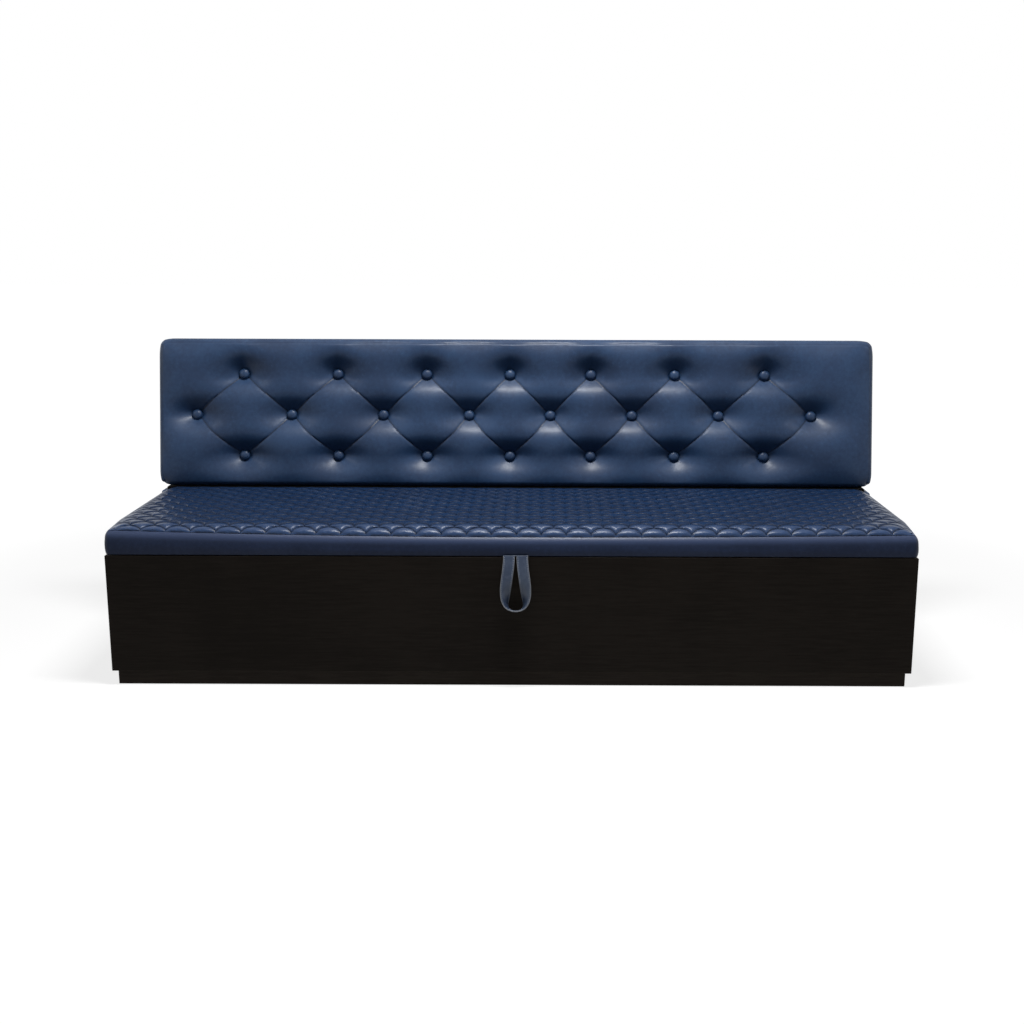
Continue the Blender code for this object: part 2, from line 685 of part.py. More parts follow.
def leaf_mesh(side, spans):
    """A hinge leaf on one side of the axis, with a bored knuckle over each span of X."""
    near, far = side * LEAF_PLAY / 2, side * (LEAF_PLAY / 2 + LEAF)
    low_y, high_y = min(near, far), max(near, far)
    plate = block_mesh((-HINGE_LENGTH / 2, low_y, leaf_low - HINGE_Z),
                       (HINGE_LENGTH / 2, high_y, leaf_high - HINGE_Z))
    extras = []
    for start, end in spans:
        extras.append(block_mesh((start, low_y, leaf_high - HINGE_Z - LEAF), (end, high_y, 0)))
        extras.append(rod_mesh(KNUCKLE_RADIUS, (start, 0, 0), (end, 0, 0)))
    bore = rod_mesh(HINGE_PIN_RADIUS + RUNNING_GAP, (-HINGE_LENGTH, 0, 0), (HINGE_LENGTH, 0, 0))
    return fused(plate, unions=extras, cuts=(bore,))


outer_spans = ((-HINGE_LENGTH / 2, -knuckle / 2 - RUNNING_GAP),
               (knuckle / 2 + RUNNING_GAP, HINGE_LENGTH / 2))
rail_leaf = leaf_mesh(1, outer_spans)
lid_leaf = leaf_mesh(-1, ((-knuckle / 2, knuckle / 2),))
pin = rod_mesh(HINGE_PIN_RADIUS, (-HINGE_LENGTH / 2, 0, 0), (HINGE_LENGTH / 2, 0, 0))
for title, x in (("left", -SIDE + HINGE_INSET), ("centre", 0.0), ("right", SIDE - HINGE_INSET)):
    spot = (x, HINGE_Y, HINGE_Z)
    add(title + "_hinge_rail_leaf", rail_leaf, "black_steel", spot, smooth=radians(40))
    add(title + "_hinge_lid_leaf", lid_leaf, "black_steel", spot, parent=lid_axis, smooth=radians(40))
    add(title + "_hinge_pin", pin, "black_steel", spot, smooth=radians(40))

# Two gas struts, whose pivots lie equally far from the hinge axis, so each end turns half the lid's angle.
lid_pivot = Vector((0, HINGE_Y - STRUT_REACH, SEAT_BOTTOM - STRUT_DROP))
arm = lid_pivot - Vector((0, HINGE_Y, HINGE_Z))
strut_arm = arm.length
box_turn = atan2(arm.z, arm.y) + STRUT_CLOSED
box_pivot = Vector((0, HINGE_Y + strut_arm * cos(box_turn), HINGE_Z + strut_arm * sin(box_turn)))
closed_length = 2 * strut_arm * sin(STRUT_CLOSED / 2)
open_length = 2 * strut_arm * sin((STRUT_CLOSED + LID_ANGLE) / 2)
run = lid_pivot - box_pivot
strut_turn = atan2(-run.y, run.z)
cylinder_end = closed_length - 2 * EYE_RADIUS - SWING_GAP
rod_length = open_length - cylinder_end + ROD_ENGAGED
bore_low = closed_length - rod_length - SWING_GAP
bore_radius = ROD_RADIUS + RUNNING_GAP
eye = [(-EYE_WIDTH / 2, 0, 0), (EYE_WIDTH / 2, 0, 0)]
eye_hole = [(-EYE_WIDTH, 0, 0), (EYE_WIDTH, 0, 0)]
hole = STUD_RADIUS + RUNNING_GAP
neck_low = (EYE_RADIUS + hole) / 2
tube_low = EYE_RADIUS + SWING_GAP
tube = turned_mesh([(0, bore_low), (bore_radius, bore_low), (bore_radius, cylinder_end),
                    (CYLINDER_RADIUS, cylinder_end), (CYLINDER_RADIUS, tube_low), (0, tube_low)])
neck = rod_mesh(ROD_RADIUS, (0, 0, neck_low), (0, 0, (tube_low + bore_low) / 2))
cylinder_eye = rod_mesh(EYE_RADIUS, *eye, sides=14)
cylinder = fused(tube, unions=(neck, cylinder_eye), cuts=(rod_mesh(hole, *eye_hole),))
piston = rod_mesh(ROD_RADIUS, (0, 0, -neck_low), (0, 0, -rod_length))
rod = fused(rod_mesh(EYE_RADIUS, *eye, sides=14), unions=(piston,), cuts=(rod_mesh(hole, *eye_hole),))
strut_x = SIDE_INNER - STRUT_INSET
stud_end = strut_x - EYE_WIDTH / 2 - SWING_GAP
plate_low = SIDE_INNER - JOINT_GAP - BRACKET_PLATE


def box_bracket_mesh(side):
    """A plate on the side panel with a stud for the cylinder's eye."""
    half = BRACKET_SIZE / 2
    ends = sorted((side * plate_low, side * (SIDE_INNER - JOINT_GAP)))
    plate = block_mesh((ends[0], box_pivot.y - half, box_pivot.z - half),
                       (ends[1], box_pivot.y + half, box_pivot.z + half))
    stud = rod_mesh(STUD_RADIUS, (side * stud_end, box_pivot.y, box_pivot.z),
                    (side * (plate_low + BRACKET_PLATE / 2), box_pivot.y, box_pivot.z))
    return fused(plate, unions=(stud,))


def lid_bracket_mesh(side):
    """An angle under the lid board with a stud for the rod's eye."""
    half = BRACKET_SIZE / 2
    lug_far = strut_x + EYE_WIDTH / 2 + SWING_GAP + BRACKET_PLATE
    lug_near = lug_far - BRACKET_PLATE
    top = SEAT_BOTTOM - JOINT_GAP
    inner, outer = sorted((side * (lug_far - BRACKET_FOOT), side * lug_far))
    foot = block_mesh((inner, lid_pivot.y - half, top - BRACKET_PLATE), (outer, lid_pivot.y + half, top))
    inner, outer = sorted((side * lug_near, side * lug_far))
    lug = block_mesh((inner, lid_pivot.y - half / 2, lid_pivot.z - EYE_RADIUS),
                     (outer, lid_pivot.y + half / 2, top - JOINT_GAP))
    stud = rod_mesh(STUD_RADIUS, (side * stud_end, lid_pivot.y, lid_pivot.z),
                    (side * (lug_near + BRACKET_PLATE / 2), lid_pivot.y, lid_pivot.z))
    return fused(foot, unions=(lug, stud))


for title, side in (("left", -1), ("right", 1)):
    box_spot = (side * strut_x, box_pivot.y, box_pivot.z)
    lid_spot = (side * strut_x, lid_pivot.y, lid_pivot.z)
    add(title + "_strut_cylinder", cylinder, "black_steel", box_spot, strut_turn, smooth=radians(40))
    add(title + "_strut_rod", rod, "steel", lid_spot, strut_turn, parent=lid_axis, smooth=radians(40))
    add(title + "_strut_box_bracket", box_bracket_mesh(side), "steel", smooth=radians(40))
    add(title + "_strut_lid_bracket", lid_bracket_mesh(side), "steel", parent=lid_axis, smooth=radians(40))

# The pull strap: a leather loop whose legs hang flat and turn edge-on at the bottom, and its tab.
strap_axis = pivot("strap_axis", (STRAP_SHIFT, STRAP_Y, STRAP_Z))
strap_axis.parent = lid_axis
strap_axis.matrix_parent_inverse = Matrix.Translation(lid_axis.location).inverted()


def strap_centre(share):
    """A point of the strap's middle line, from the top of one leg round the loop to the other."""
    side = -1 if share < 0.5 else 1
    step = 2 * min(share, 1 - share)
    low, top = STRAP_Z - STRAP_DROP, STRAP_Z + STRAP_THICKNESS / 2
    shares = ((1 - step) ** 3, 3 * step * (1 - step) ** 2, 3 * step ** 2 * (1 - step), step ** 3)
    x = side * (shares[0] * STRAP_LEG + shares[1] * STRAP_LEG + shares[2] * STRAP_BULGE)
    z = shares[0] * top + shares[1] * (top - STRAP_STEM) + shares[2] * low + shares[3] * low
    y = STRAP_Y - STRAP_BOW * sin(pi / 2 * min(step / STRAP_BEND, 1.0))
    return Vector((STRAP_SHIFT + x, y, z))


def strap_turn(share):
    """How far the strap is turned about its length: half a turn from one leg's top to the other's."""
    step = (2 * min(share, 1 - share) - STRAP_FLAT) / (STRAP_TURNED - STRAP_FLAT)
    step = min(max(step, 0.0), 1.0)
    turn = pi / 2 * step ** 2 * (3 - 2 * step)
    return turn if share < 0.5 else pi - turn


strap = bmesh.new()
bmesh.ops.create_grid(strap, x_segments=STRAP_STEPS, y_segments=1, size=0.5)
for vertex in strap.verts:
    share = vertex.co.x + 0.5
    ahead = strap_centre(min(share + STRAP_NUDGE, 1.0)) - strap_centre(max(share - STRAP_NUDGE, 0.0))
    width = Vector((cos(strap_turn(share)), sin(strap_turn(share)), 0))
    width -= ahead * (width.dot(ahead) / ahead.length_squared)
    vertex.co = strap_centre(share) + width.normalized() * (STRAP_WIDTH * vertex.co.y)
pull_strap = add("pull_strap", mesh_of("pull_strap", strap), "leather", parent=strap_axis, smooth=radians(60))
thickness = pull_strap.modifiers.new("leather_thickness", "SOLIDIFY")
thickness.thickness = STRAP_THICKNESS
thickness.offset = 0.0
strap_corner = hypot(STRAP_THICKNESS / 2, STRAP_THICKNESS / 2)
tab_front = STRAP_Y + strap_corner + RUNNING_GAP
tab_side = STRAP_LEG + STRAP_WIDTH / 2
block("strap_tab", (STRAP_SHIFT - tab_side, tab_front, STRAP_Z - STRAP_THICKNESS / 2),
      (STRAP_SHIFT + tab_side, tab_front + TAB_LENGTH, STRAP_Z + STRAP_THICKNESS / 2), "leather", lid_axis)
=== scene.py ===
"""Looks of the waiting room sofa: a storage bench with a quilted seat lid and a diamond-tufted back.

Metres, +Z up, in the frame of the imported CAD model. The front looks along -Y.
"""

import json
from math import cos, exp, hypot, log, pi, radians, sin, sqrt, tan

import bmesh
import bpy
from mathutils import Matrix, Vector, noise
from mathutils.bvhtree import BVHTree


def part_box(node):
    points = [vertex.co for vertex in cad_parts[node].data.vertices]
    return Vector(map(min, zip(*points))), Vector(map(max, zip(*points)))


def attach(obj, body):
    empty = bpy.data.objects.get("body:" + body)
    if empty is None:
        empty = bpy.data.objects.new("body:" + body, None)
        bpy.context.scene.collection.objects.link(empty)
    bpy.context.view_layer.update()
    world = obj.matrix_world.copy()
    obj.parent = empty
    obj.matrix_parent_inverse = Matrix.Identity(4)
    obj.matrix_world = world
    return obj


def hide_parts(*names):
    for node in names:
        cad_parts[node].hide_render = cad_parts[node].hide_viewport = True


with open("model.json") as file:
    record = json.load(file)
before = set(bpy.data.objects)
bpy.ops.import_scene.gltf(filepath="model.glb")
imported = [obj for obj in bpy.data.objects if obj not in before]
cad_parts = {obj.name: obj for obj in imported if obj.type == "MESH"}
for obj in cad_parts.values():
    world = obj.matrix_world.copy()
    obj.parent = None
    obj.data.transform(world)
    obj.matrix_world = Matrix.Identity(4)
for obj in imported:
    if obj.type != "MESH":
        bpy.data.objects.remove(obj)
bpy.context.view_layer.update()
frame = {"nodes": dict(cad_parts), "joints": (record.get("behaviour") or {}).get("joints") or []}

# Places that the CAD frame gives.
BACK_LOW, BACK_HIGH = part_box("back_cover")
SEAT_LOW, SEAT_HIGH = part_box("seat_top")
BORDER_LOW, BORDER_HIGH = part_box("seat_border")
REAR_PANEL_LOW, REAR_PANEL_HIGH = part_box("rear_panel")
FRONT_PANEL_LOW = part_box("front_panel")[0]
LINING_LOW, LINING_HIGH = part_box("lid_lining")
TAB_LOW, TAB_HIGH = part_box("strap_tab")
JOINTS = {joint["name"]: Vector(joint["pos_m"]) for joint in frame["joints"]}
HINGE = JOINTS["lid_hinge"]
STRAP_TOP = JOINTS["strap_swing"]

# Leather.
HIDE_IOR = 1.45
HIDE_CLOUD = 0.14
HIDE_MOTTLE = 0.011
HIDE_WEAR = 0.35
HIDE_PEBBLE = 0.0016
HIDE_WRINKLE = 0.005
HIDE_RELIEF = 0.0007
GLOSS_SPREAD = 0.07
# Painted shade: the near-black blue laid into the creases, the boxing seam and the seat's scale valleys,
# and how strongly it is laid; the folds are also made duller.
FOLD_SHADE_COLOUR = (0.0006, 0.0016, 0.006)
FOLD_SHADE_STRENGTH = 0.85
FOLD_DULL = 0.3
# Painted highlight: how strongly the seat's front rows and the border's top roll are painted paler.
PAINTED_HIGHLIGHT_PALE = 0.55
POLISH_COAT = 0.5
GATHER_PITCH = 0.0075
GATHER_RELIEF = 3.0

# The tufted back.
BACK_RECLINE = radians(10.1)
BACK_CORNER = 0.030
BACK_ROLL = 0.015
BACK_ROLL_STEPS = (0.0, 0.0012, 0.0042)
BACK_ROLL_END = BACK_ROLL + 0.001
BOTTOM_ROLL = 0.062
BOTTOM_ROLL_DEPTH = 0.025
BACK_PUFF = 0.011
BACK_PUFF_WIDTH = 0.040
TOP_SCALLOP = 0.006
TOP_SCALLOP_RISE = 2.5
TOP_SCALLOP_PINCH = 0.45
RIM_HOLD = 0.040
BOTTOM_PUFF_START = 0.040
BOTTOM_PUFF_WIDTH = 0.075
BOXING_SEAM = 0.0105
BOXING_SEAM_DEPTH = 0.0007
BOXING_SEAM_WIDTH = 0.0020
BOXING_SEAM_SHADE = 0.5
REAR_ROLL = 0.006
REAR_ROLL_STEPS = 3
REAR_TURN_IN = 0.010
REAR_FIT = 0.0004
PILLOW = 0.008
PILLOW_FADE = 0.030
PILLOW_TOP_FADE = 0.042
TUFT_DEPTH = 0.044
TUFT_HALF_WIDTH = 0.096
TUFT_ABOVE = 0.054
TUFT_BELOW = 0.043
TUFT_RIM = 3.2
TUFT_REACH = 3.0
TUFT_NECK = 0.004
TUFT_NECK_RADIUS = 0.008
CREASE_CUT = 0.0026
CREASE_WIDTH = 0.0018
CREASE_SEWN = 0.001
CREASE_BOW = 0.004
CREASE_STEPS = 16
MARGIN_STEP = 0.019
GRID_LAYERS = ("place", "level", "edge")

# The stuffing, blown up by cloth simulation.
STUFFING_PRESSURE = 4.0
STUFFING_FRAMES = 20
SWELL_CAP = 0.004

# The button field, with the places that the CAD source gives the buttons.
BUTTON_COLUMNS = 8
BUTTON_ROW_PITCH = 0.1135
BUTTON_ROW_DROP = 0.008
BUTTON_END_GAP = 0.1363
BUTTON_CROWD = 0.0214
BUTTON_SHIFT = -0.0257
BUTTON_LEAN = 0.0086

# The buttons, and the blocks under the ends of the back.
BUTTON_RADIUS = 0.015
BUTTON_DOME = 0.0085
BUTTON_PROUD = 0.0025
BUTTON_PROFILE = ((0.0, 1.0), (0.25, 0.97), (0.5, 0.86), (0.72, 0.68), (0.88, 0.42), (0.97, 0.12),
                  (1.0, -0.15), (0.95, -0.5), (0.75, -0.75))
BUTTON_SIDES = 24
BUTTON_FEELERS = 16
RISER_ROLL = 0.008

# The quilted seat.
SCALE_WIDTH = 0.0615
SCALE_ROW = 0.026
SCALE_SHIFT = 0.0115
SCALE_HEIGHT = 0.0028
SCALE_ROOM = 0.003
SCALE_DOME = ((0.94, 0.17), (0.80, 0.45), (0.55, 0.78), (0.28, 0.95))
SCALE_WANDER = 0.0022
SEWING_SEED = 7
QUARTER_STEPS = 6
FRONT_BOOST = 0.60
FRONT_PUFFED = 0.028
FRONT_FADE = 0.030
FRONT_ROWS = 1.7
GATHER_LENGTH = 0.014
SEWN_EDGE = 0.006
SEAT_ROLL = 0.047
SEAT_TURN = radians(68)
SEAT_SIDE_ROLL = 0.045
SEAT_SIDE_EASE = 0.050
SEAT_FALL = 1.8
SEAT_BLEND = 4
SEAT_TILT = 0.012
SEAT_TILT_LENGTH = 0.36
SEAT_TILT_POWER = 1.5
SEAT_REAR_ROLL = 0.010
SEAT_REAR_EASE = 0.030
SEAT_CORNER = 0.014
SEAT_BASE_FIT = 0.0001
SEAM_MIDDLE = 0.3827
SEAM_RISE_LEFT = 0.0142
SEAM_RISE_RIGHT = 0.0085
SEAM_SIDE = 0.4022
SEAM_SIDE_EASE = 0.10
SEAM_INSET = 0.0105
SEAM_TUCK = 0.0018
SEAM_LIP = 0.0030

# The border of the seat.
BORDER_WALL = 0.0120
BORDER_BULGE = 0.0014
BORDER_WAVE = 0.0008
BORDER_TOP_TURN = radians(52)
BORDER_TOP_FIT = 0.0006
BORDER_TOP_LAP = 0.0005
# Painted highlight: how far down from the border's top roll it reaches.
BORDER_HIGHLIGHT_REACH = 1.2
BORDER_LOW_ROLL = 0.0030
BORDER_HANG = 0.0030
BORDER_SIDE_STEPS = 12
BORDER_CORNER_STEPS = 8
BORDER_FRONT_STEPS = 60
BORDER_ROLL_STEPS = 6

# The pull strap, close to the CAD source.
STRAP_WIDTH = 0.028
STRAP_THICKNESS = 0.0024
STRAP_DROP = 0.1350
STRAP_LEG = 0.0162
STRAP_BULGE = 0.0460
STRAP_STEM = 0.056
STRAP_BOW = 0.018
STRAP_BEND = 0.45
STRAP_FLAT = 0.24
STRAP_TURNED = 0.97
STRAP_TILT = radians(13)
STRAP_STEPS = 120
STRAP_ROWS = (-0.5, -0.455, -0.30, -0.15, 0.0, 0.15, 0.30, 0.455, 0.5)
STRAP_NUDGE = 0.01
STRAP_EDGE = 0.0005
STITCH_PITCH = 0.0046
STITCH_INSET = 0.0034
STITCH_PROUD = 0.0001
STITCH_HALF_SIZE = (STITCH_PITCH * 0.40, 0.00085, 0.00045)

# Under the lid.
COVER_STEP = 0.012
COVER_HEM = 0.014
COVER_SAG = 0.0007
COVER_SAG_EASE = 0.08
COVER_THICKNESS = 0.0005
STAPLE_PITCH = 0.054
STAPLE_SIZE = (0.0100, 0.0012, 0.0006)
STAPLE_EDGE = 0.0002
STAPLE_SINK = 0.0001
TAB_CORNER = 0.009
TAB_EDGE = 0.0006
RIVET_BACK = 0.006
RIVET_SIDES = 20
RIVET_PROFILE = ((0.0, -0.0012), (0.0020, -0.0011), (0.0034, -0.0007), (0.0040, 0.0), (0.0040, 0.0005))

# The stage.
CAMERA_PLACE = Vector((0.0748, -3.3657, 1.0868))
CAMERA_PITCH = radians(11.890)
CAMERA_YAW = radians(-0.0757)
CAMERA_ROLL = radians(0.1962)
CAMERA_LENS = 44.78
CAMERA_SHIFT = -0.0278
FLOOR_REACH = 30.0
FLOOR_GREY = 0.32
FLOOR_GLOW = 0.80
FLOOR_NEAR = 1.5
FLOOR_FAR = 3.0
AMBIENT = 0.05

# How near points of a turned shape are to count as one.
DOUBLES = 0.00005

scene = bpy.context.scene
noise.seed_set(SEWING_SEED)


# Finishes.
def sums(operation, reflected=False):
    """An operator on wires that adds a Math node."""
    def apply(wire, other=0.0):
        first, second = (other, wire) if reflected else (wire, other)
        return wire.tree.node("ShaderNodeMath", {"operation": operation}, {0: first, 1: second})
    return apply


class Wire:
    """One value in a node tree, on which sums can be written."""

    __add__ = sums("ADD")
    __radd__ = sums("ADD", reflected=True)
    __sub__ = sums("SUBTRACT")
    __rsub__ = sums("SUBTRACT", reflected=True)
    __mul__ = sums("MULTIPLY")
    __rmul__ = sums("MULTIPLY", reflected=True)
    __abs__ = sums("ABSOLUTE")
    wave = sums("SINE")
    most = sums("MAXIMUM")

    def __init__(self, tree, socket):
        self.tree = tree
        self.socket = socket


class Tree:
    """A node tree with one way to add a node."""

    def __init__(self, nodes):
        self.nodes = nodes

    def node(self, kind, settings, sockets, out=0):
        """Add a node, set it up, then fill its sockets with values or wires."""
        added = self.nodes.nodes.new(kind)
        for key, value in settings.items():
            setattr(added, key, value)
        for key, value in sockets.items():
            self.fill(added.inputs[key], value)
        return Wire(self, added.outputs[out])

    def fill(self, socket, value):
        if isinstance(value, Wire):
            self.nodes.links.new(value.socket, socket)
        else:
            socket.default_value = value

    def place(self):
        return self.node("ShaderNodeTexCoord", {}, {}, out="Object")

    def along(self, axis):
        return self.node("ShaderNodeSeparateXYZ", {}, {0: self.place()}, out=axis)

    def ripple(self, axis, pitch):
        """Waves across an axis."""
        return (self.along(axis) * (2 * pi / pitch)).wave()

    def attribute(self, name):
        return self.node("ShaderNodeAttribute", {"attribute_name": name}, {}, out="Fac")

    def cloud(self, size, detail=3.0, rough=0.5, stretch=(1, 1, 1)):
        """Soft noise whose blotches are about the given size in metres."""
        spot = self.node("ShaderNodeMapping", {}, {"Vector": self.place(), "Scale": stretch})
        sockets = {"Vector": spot, "Scale": 1 / size, "Detail": detail, "Roughness": rough}
        return self.node("ShaderNodeTexNoise", {}, sockets)

    def cells(self, size, feature="DISTANCE_TO_EDGE"):
        """Cells about the given size in metres, as distances to their edges or middles."""
        sockets = {"Vector": self.place(), "Scale": 1 / size}
        return self.node("ShaderNodeTexVoronoi", {"feature": feature}, sockets, out="Distance")

    def between(self, value, low, high, start=0.0, end=1.0):
        """Map a value's range onto another one, smoothly and held at the ends."""
        sockets = {"Value": value, "From Min": low, "From Max": high, "To Min": start, "To Max": end}
        return self.node("ShaderNodeMapRange", {"interpolation_type": "SMOOTHSTEP"}, sockets)

    def mix(self, share, first, second):
        """Blend two colours."""
        first, second = [value if isinstance(value, Wire) else (*value, 1.0) for value in (first, second)]
        return self.node("ShaderNodeMix", {"data_type": "RGBA"}, {0: share, 6: first, 7: second}, out=2)

    def backdrop_rays(self):
        """1 for the rays that see the backdrop: the camera's, and those of gloss and glass."""
        seen, gloss, glass = [self.node("ShaderNodeLightPath", {}, {}, out=f"Is {kind} Ray")
                              for kind in ("Camera", "Glossy", "Transmission")]
        return seen.most(gloss).most(glass)


class Finish(Tree):
    """A procedural material round one Principled shader."""

    def __init__(self, name, **fixed):
        self.material = bpy.data.materials.new(name)
        self.material.use_nodes = True
        super().__init__(self.material.node_tree)
        self.shader = self.nodes.nodes["Principled BSDF"]
        self.set(**fixed)

    def set(self, **values):
        """Set or feed the shader's own sockets."""
        for socket, value in values.items():
            self.fill(self.shader.inputs[socket.replace("_", " ")], value)

    def colour(self, share, first, second):
        """Colour the surface between two tones."""
        self.set(Base_Color=self.mix(share, first, second))

    def roughen(self, wear, low, high):
        """Make the surface duller where it is more worn."""
        self.set(Roughness=self.between(wear, 0.3, 0.7, low, high))

    def relief(self, height, strength, distance):
        """Raise the surface, and hand over the material."""
        sockets = {"Height": height, "Strength": strength, "Distance": distance}
        self.set(Normal=self.node("ShaderNodeBump", {}, sockets))
        return self.material


def tint(colour, gain, lift=0.0):
    """A colour made lighter or darker."""
    return tuple(gain * part + lift for part in colour)


def leather(name, deep, light, shine, gloss, grain, painted_highlight_and_gathers=False):
    """Dyed hide: cloudy colour, fine pebbled grain, and folds that are darkened by painted shade and are
    duller.

    With highlights and gathers, the hide is painted paler where its piece marks a painted highlight, with a
    glossier coat there, and rippled where it has gathers.
    """
    finish = Finish(name, IOR=HIDE_IOR, Specular_IOR_Level=shine, Coat_IOR=HIDE_IOR)
    clouds = finish.cloud(HIDE_CLOUD, 4.0, 0.6)
    mottle = finish.cloud(HIDE_MOTTLE, 5.0, 0.65)
    fold = finish.attribute("fold")
    tone = finish.between(clouds * 0.6 + mottle * 0.4, 0.36, 0.66)
    dye_and_highlight = finish.mix(tone, deep, light)
    wear = finish.between(mottle, 0.58, 0.75) * HIDE_WEAR
    dye_and_highlight = finish.mix(wear, dye_and_highlight, tint(light, 1.3, 0.006))
    pebble = finish.between(finish.cells(HIDE_PEBBLE), 0.0, 0.25)
    height = pebble * 0.4 + finish.cloud(HIDE_WRINKLE, 3.0, 0.6) * 0.6
    if painted_highlight_and_gathers:
        sunk = fold
        highlight_and_gloss = finish.attribute("highlight_and_gloss")
        # Painted highlight: paler colour where the piece marks it.
        dye_and_highlight = finish.mix(highlight_and_gloss * PAINTED_HIGHLIGHT_PALE, dye_and_highlight, tint(light, 2.2, 0.004))
        height += finish.ripple("X", GATHER_PITCH) * finish.attribute("gather") * GATHER_RELIEF
        finish.set(Coat_Weight=highlight_and_gloss * POLISH_COAT, Coat_Roughness=0.40)
    else:
        sunk = fold * fold
        finish.set(Coat_Weight=0.25, Coat_Roughness=0.28)
    # Painted shade: the folds are darkened towards the fold shade colour.
    finish.colour(sunk * FOLD_SHADE_STRENGTH, dye_and_highlight, FOLD_SHADE_COLOUR)
    dull = finish.between(mottle + clouds, 0.7, 1.3, gloss + GLOSS_SPREAD, gloss - GLOSS_SPREAD)
    finish.set(Roughness=dull + fold * FOLD_DULL)
    return finish.relief(height, grain, HIDE_RELIEF)


def laminate(name, pale):
    """Near-black laminate with faint long pores, smudges and a painted highlight along the front panel's
    bottom edge.
    """
    finish = Finish(name, IOR=1.45, Specular_IOR_Level=0.04)
    pores = finish.cloud(0.004, 4.0, 0.6, stretch=(0.06, 1, 1))
    smudge = finish.cloud(0.22, 3.0, 0.5)
    tone = finish.between(pores * 0.5 + smudge * 0.5, 0.35, 0.65)
    dark, light = tint((0.0160, 0.0132, 0.0112), pale), tint((0.0250, 0.0208, 0.0178), pale)
    brown = finish.mix(tone, dark, light)
    # Painted highlight: a paler line at the height of the front panel's bottom edge, where the edge catches
    # light.
    low_edge = finish.along("Z") - (FRONT_PANEL_LOW.z + 0.0012)
    line = finish.between(abs(low_edge), 0.0004, 0.0016, 1.0, 0.0)
    finish.colour(line * 0.6, brown, (0.030, 0.024, 0.018))
    finish.roughen(smudge, 0.38, 0.52)
    return finish.relief(pores, 0.06, 0.0004)


def plywood(name):
    """Pale plywood with long grain."""
    finish = Finish(name, Specular_IOR_Level=0.3)
    grain = finish.cloud(0.012, 5.0, 0.6, stretch=(0.05, 1, 1))
    broad = finish.cloud(0.15, 2.0, 0.5, stretch=(0.3, 1, 1))
    tone = finish.between(grain * 0.6 + broad * 0.4, 0.35, 0.68)
    finish.colour(tone, (0.33, 0.20, 0.10), (0.62, 0.44, 0.26))
    finish.roughen(grain, 0.5, 0.68)
    return finish.relief(grain, 0.15, 0.0005)


def foam(name):
    """Open-cell foam."""
    finish = Finish(name, Specular_IOR_Level=0.1, Roughness=0.95)
    cells = finish.cells(0.0022, "F1")
    age = finish.cloud(0.08)
    tone = finish.between(cells * 0.5 + age * 0.5, 0.2, 0.7)
    finish.colour(tone, (0.50, 0.42, 0.26), (0.78, 0.72, 0.54))
    return finish.relief(cells, 0.5, 0.001)


def lining_cloth(name):
    """Black woven dust cloth under the lid."""
    finish = Finish(name, Specular_IOR_Level=0.1, Roughness=0.95)
    weave = finish.ripple("X", 0.0016) * finish.ripple("Y", 0.0016)
    lint = finish.cloud(0.05)
    tone = finish.between(lint * 0.6 + weave * 0.2, 0.2, 0.6)
    finish.colour(tone, (0.010, 0.010, 0.011), (0.026, 0.026, 0.028))
    return finish.relief(weave, 0.3, 0.0004)


def steel(name, colour, roughness):
    """Plated or painted metal with a fine brushed grain."""
    finish = Finish(name, Metallic=1.0)
    brushed = finish.cloud(0.0015, 3.0, 0.6, stretch=(0.05, 1, 1))
    stain = finish.cloud(0.03)
    wear = brushed * 0.5 + stain * 0.5
    finish.colour(finish.between(stain, 0.35, 0.7), colour, tint(colour, 0.75))
    finish.roughen(wear, roughness - 0.07, roughness + 0.1)
    return finish.relief(brushed, 0.05, 0.0002)


def rubber(name):
    """Black moulded rubber."""
    finish = Finish(name, Specular_IOR_Level=0.25)
    bloom = finish.cloud(0.006)
    finish.colour(bloom, (0.004, 0.004, 0.004), (0.009, 0.009, 0.009))
    finish.roughen(bloom, 0.7, 0.9)
    return finish.relief(bloom, 0.1, 0.0003)


def thread(name):
    """Twisted thread of a pale blue-grey."""
    finish = Finish(name, Specular_IOR_Level=0.2, Roughness=0.7)
    twist = finish.cloud(0.0008, 2.0)
    finish.colour(twist, (0.190, 0.220, 0.280), (0.360, 0.395, 0.450))
    return finish.relief(twist, 0.4, 0.0002)


def cut_edge(name):
    """The strap's pale cut edge."""
    finish = Finish(name, Specular_IOR_Level=0.3, Roughness=0.6)
    fibre = finish.cloud(0.0025, 4.0, 0.7)
    finish.colour(fibre, (0.150, 0.165, 0.195), (0.330, 0.345, 0.375))
    return finish.relief(fibre, 0.4, 0.0004)


LEATHER = leather("navy_leather", (0.0070, 0.0255, 0.072), (0.0145, 0.0450, 0.114),
                  shine=0.34, gloss=0.52, grain=0.20)
# Painted shade: the seat and the border are the same navy leather as the back, in copies with darker
# colours.
SHADED_SEAT_LEATHER = leather("navy_seat_leather_painted_darker", (0.0046, 0.0180, 0.056), (0.0078, 0.0275, 0.081),
                       shine=0.18, gloss=0.31, grain=0.06, painted_highlight_and_gathers=True)
SHADED_BORDER_LEATHER = leather("navy_border_leather_painted_darker", (0.0050, 0.0118, 0.036), (0.0118, 0.0238, 0.064),
                         shine=0.22, gloss=0.45, grain=0.25, painted_highlight_and_gathers=True)
STRAP_LEATHER = leather("navy_strap_leather", (0.0150, 0.0290, 0.064), (0.0560, 0.0800, 0.130),
                        shine=0.40, gloss=0.40, grain=0.20)
THREAD = thread("pale_thread")
CUT_EDGE = cut_edge("strap_cut_edge")
PLINTH_LAMINATE = laminate("plinth_laminate", 2.4)
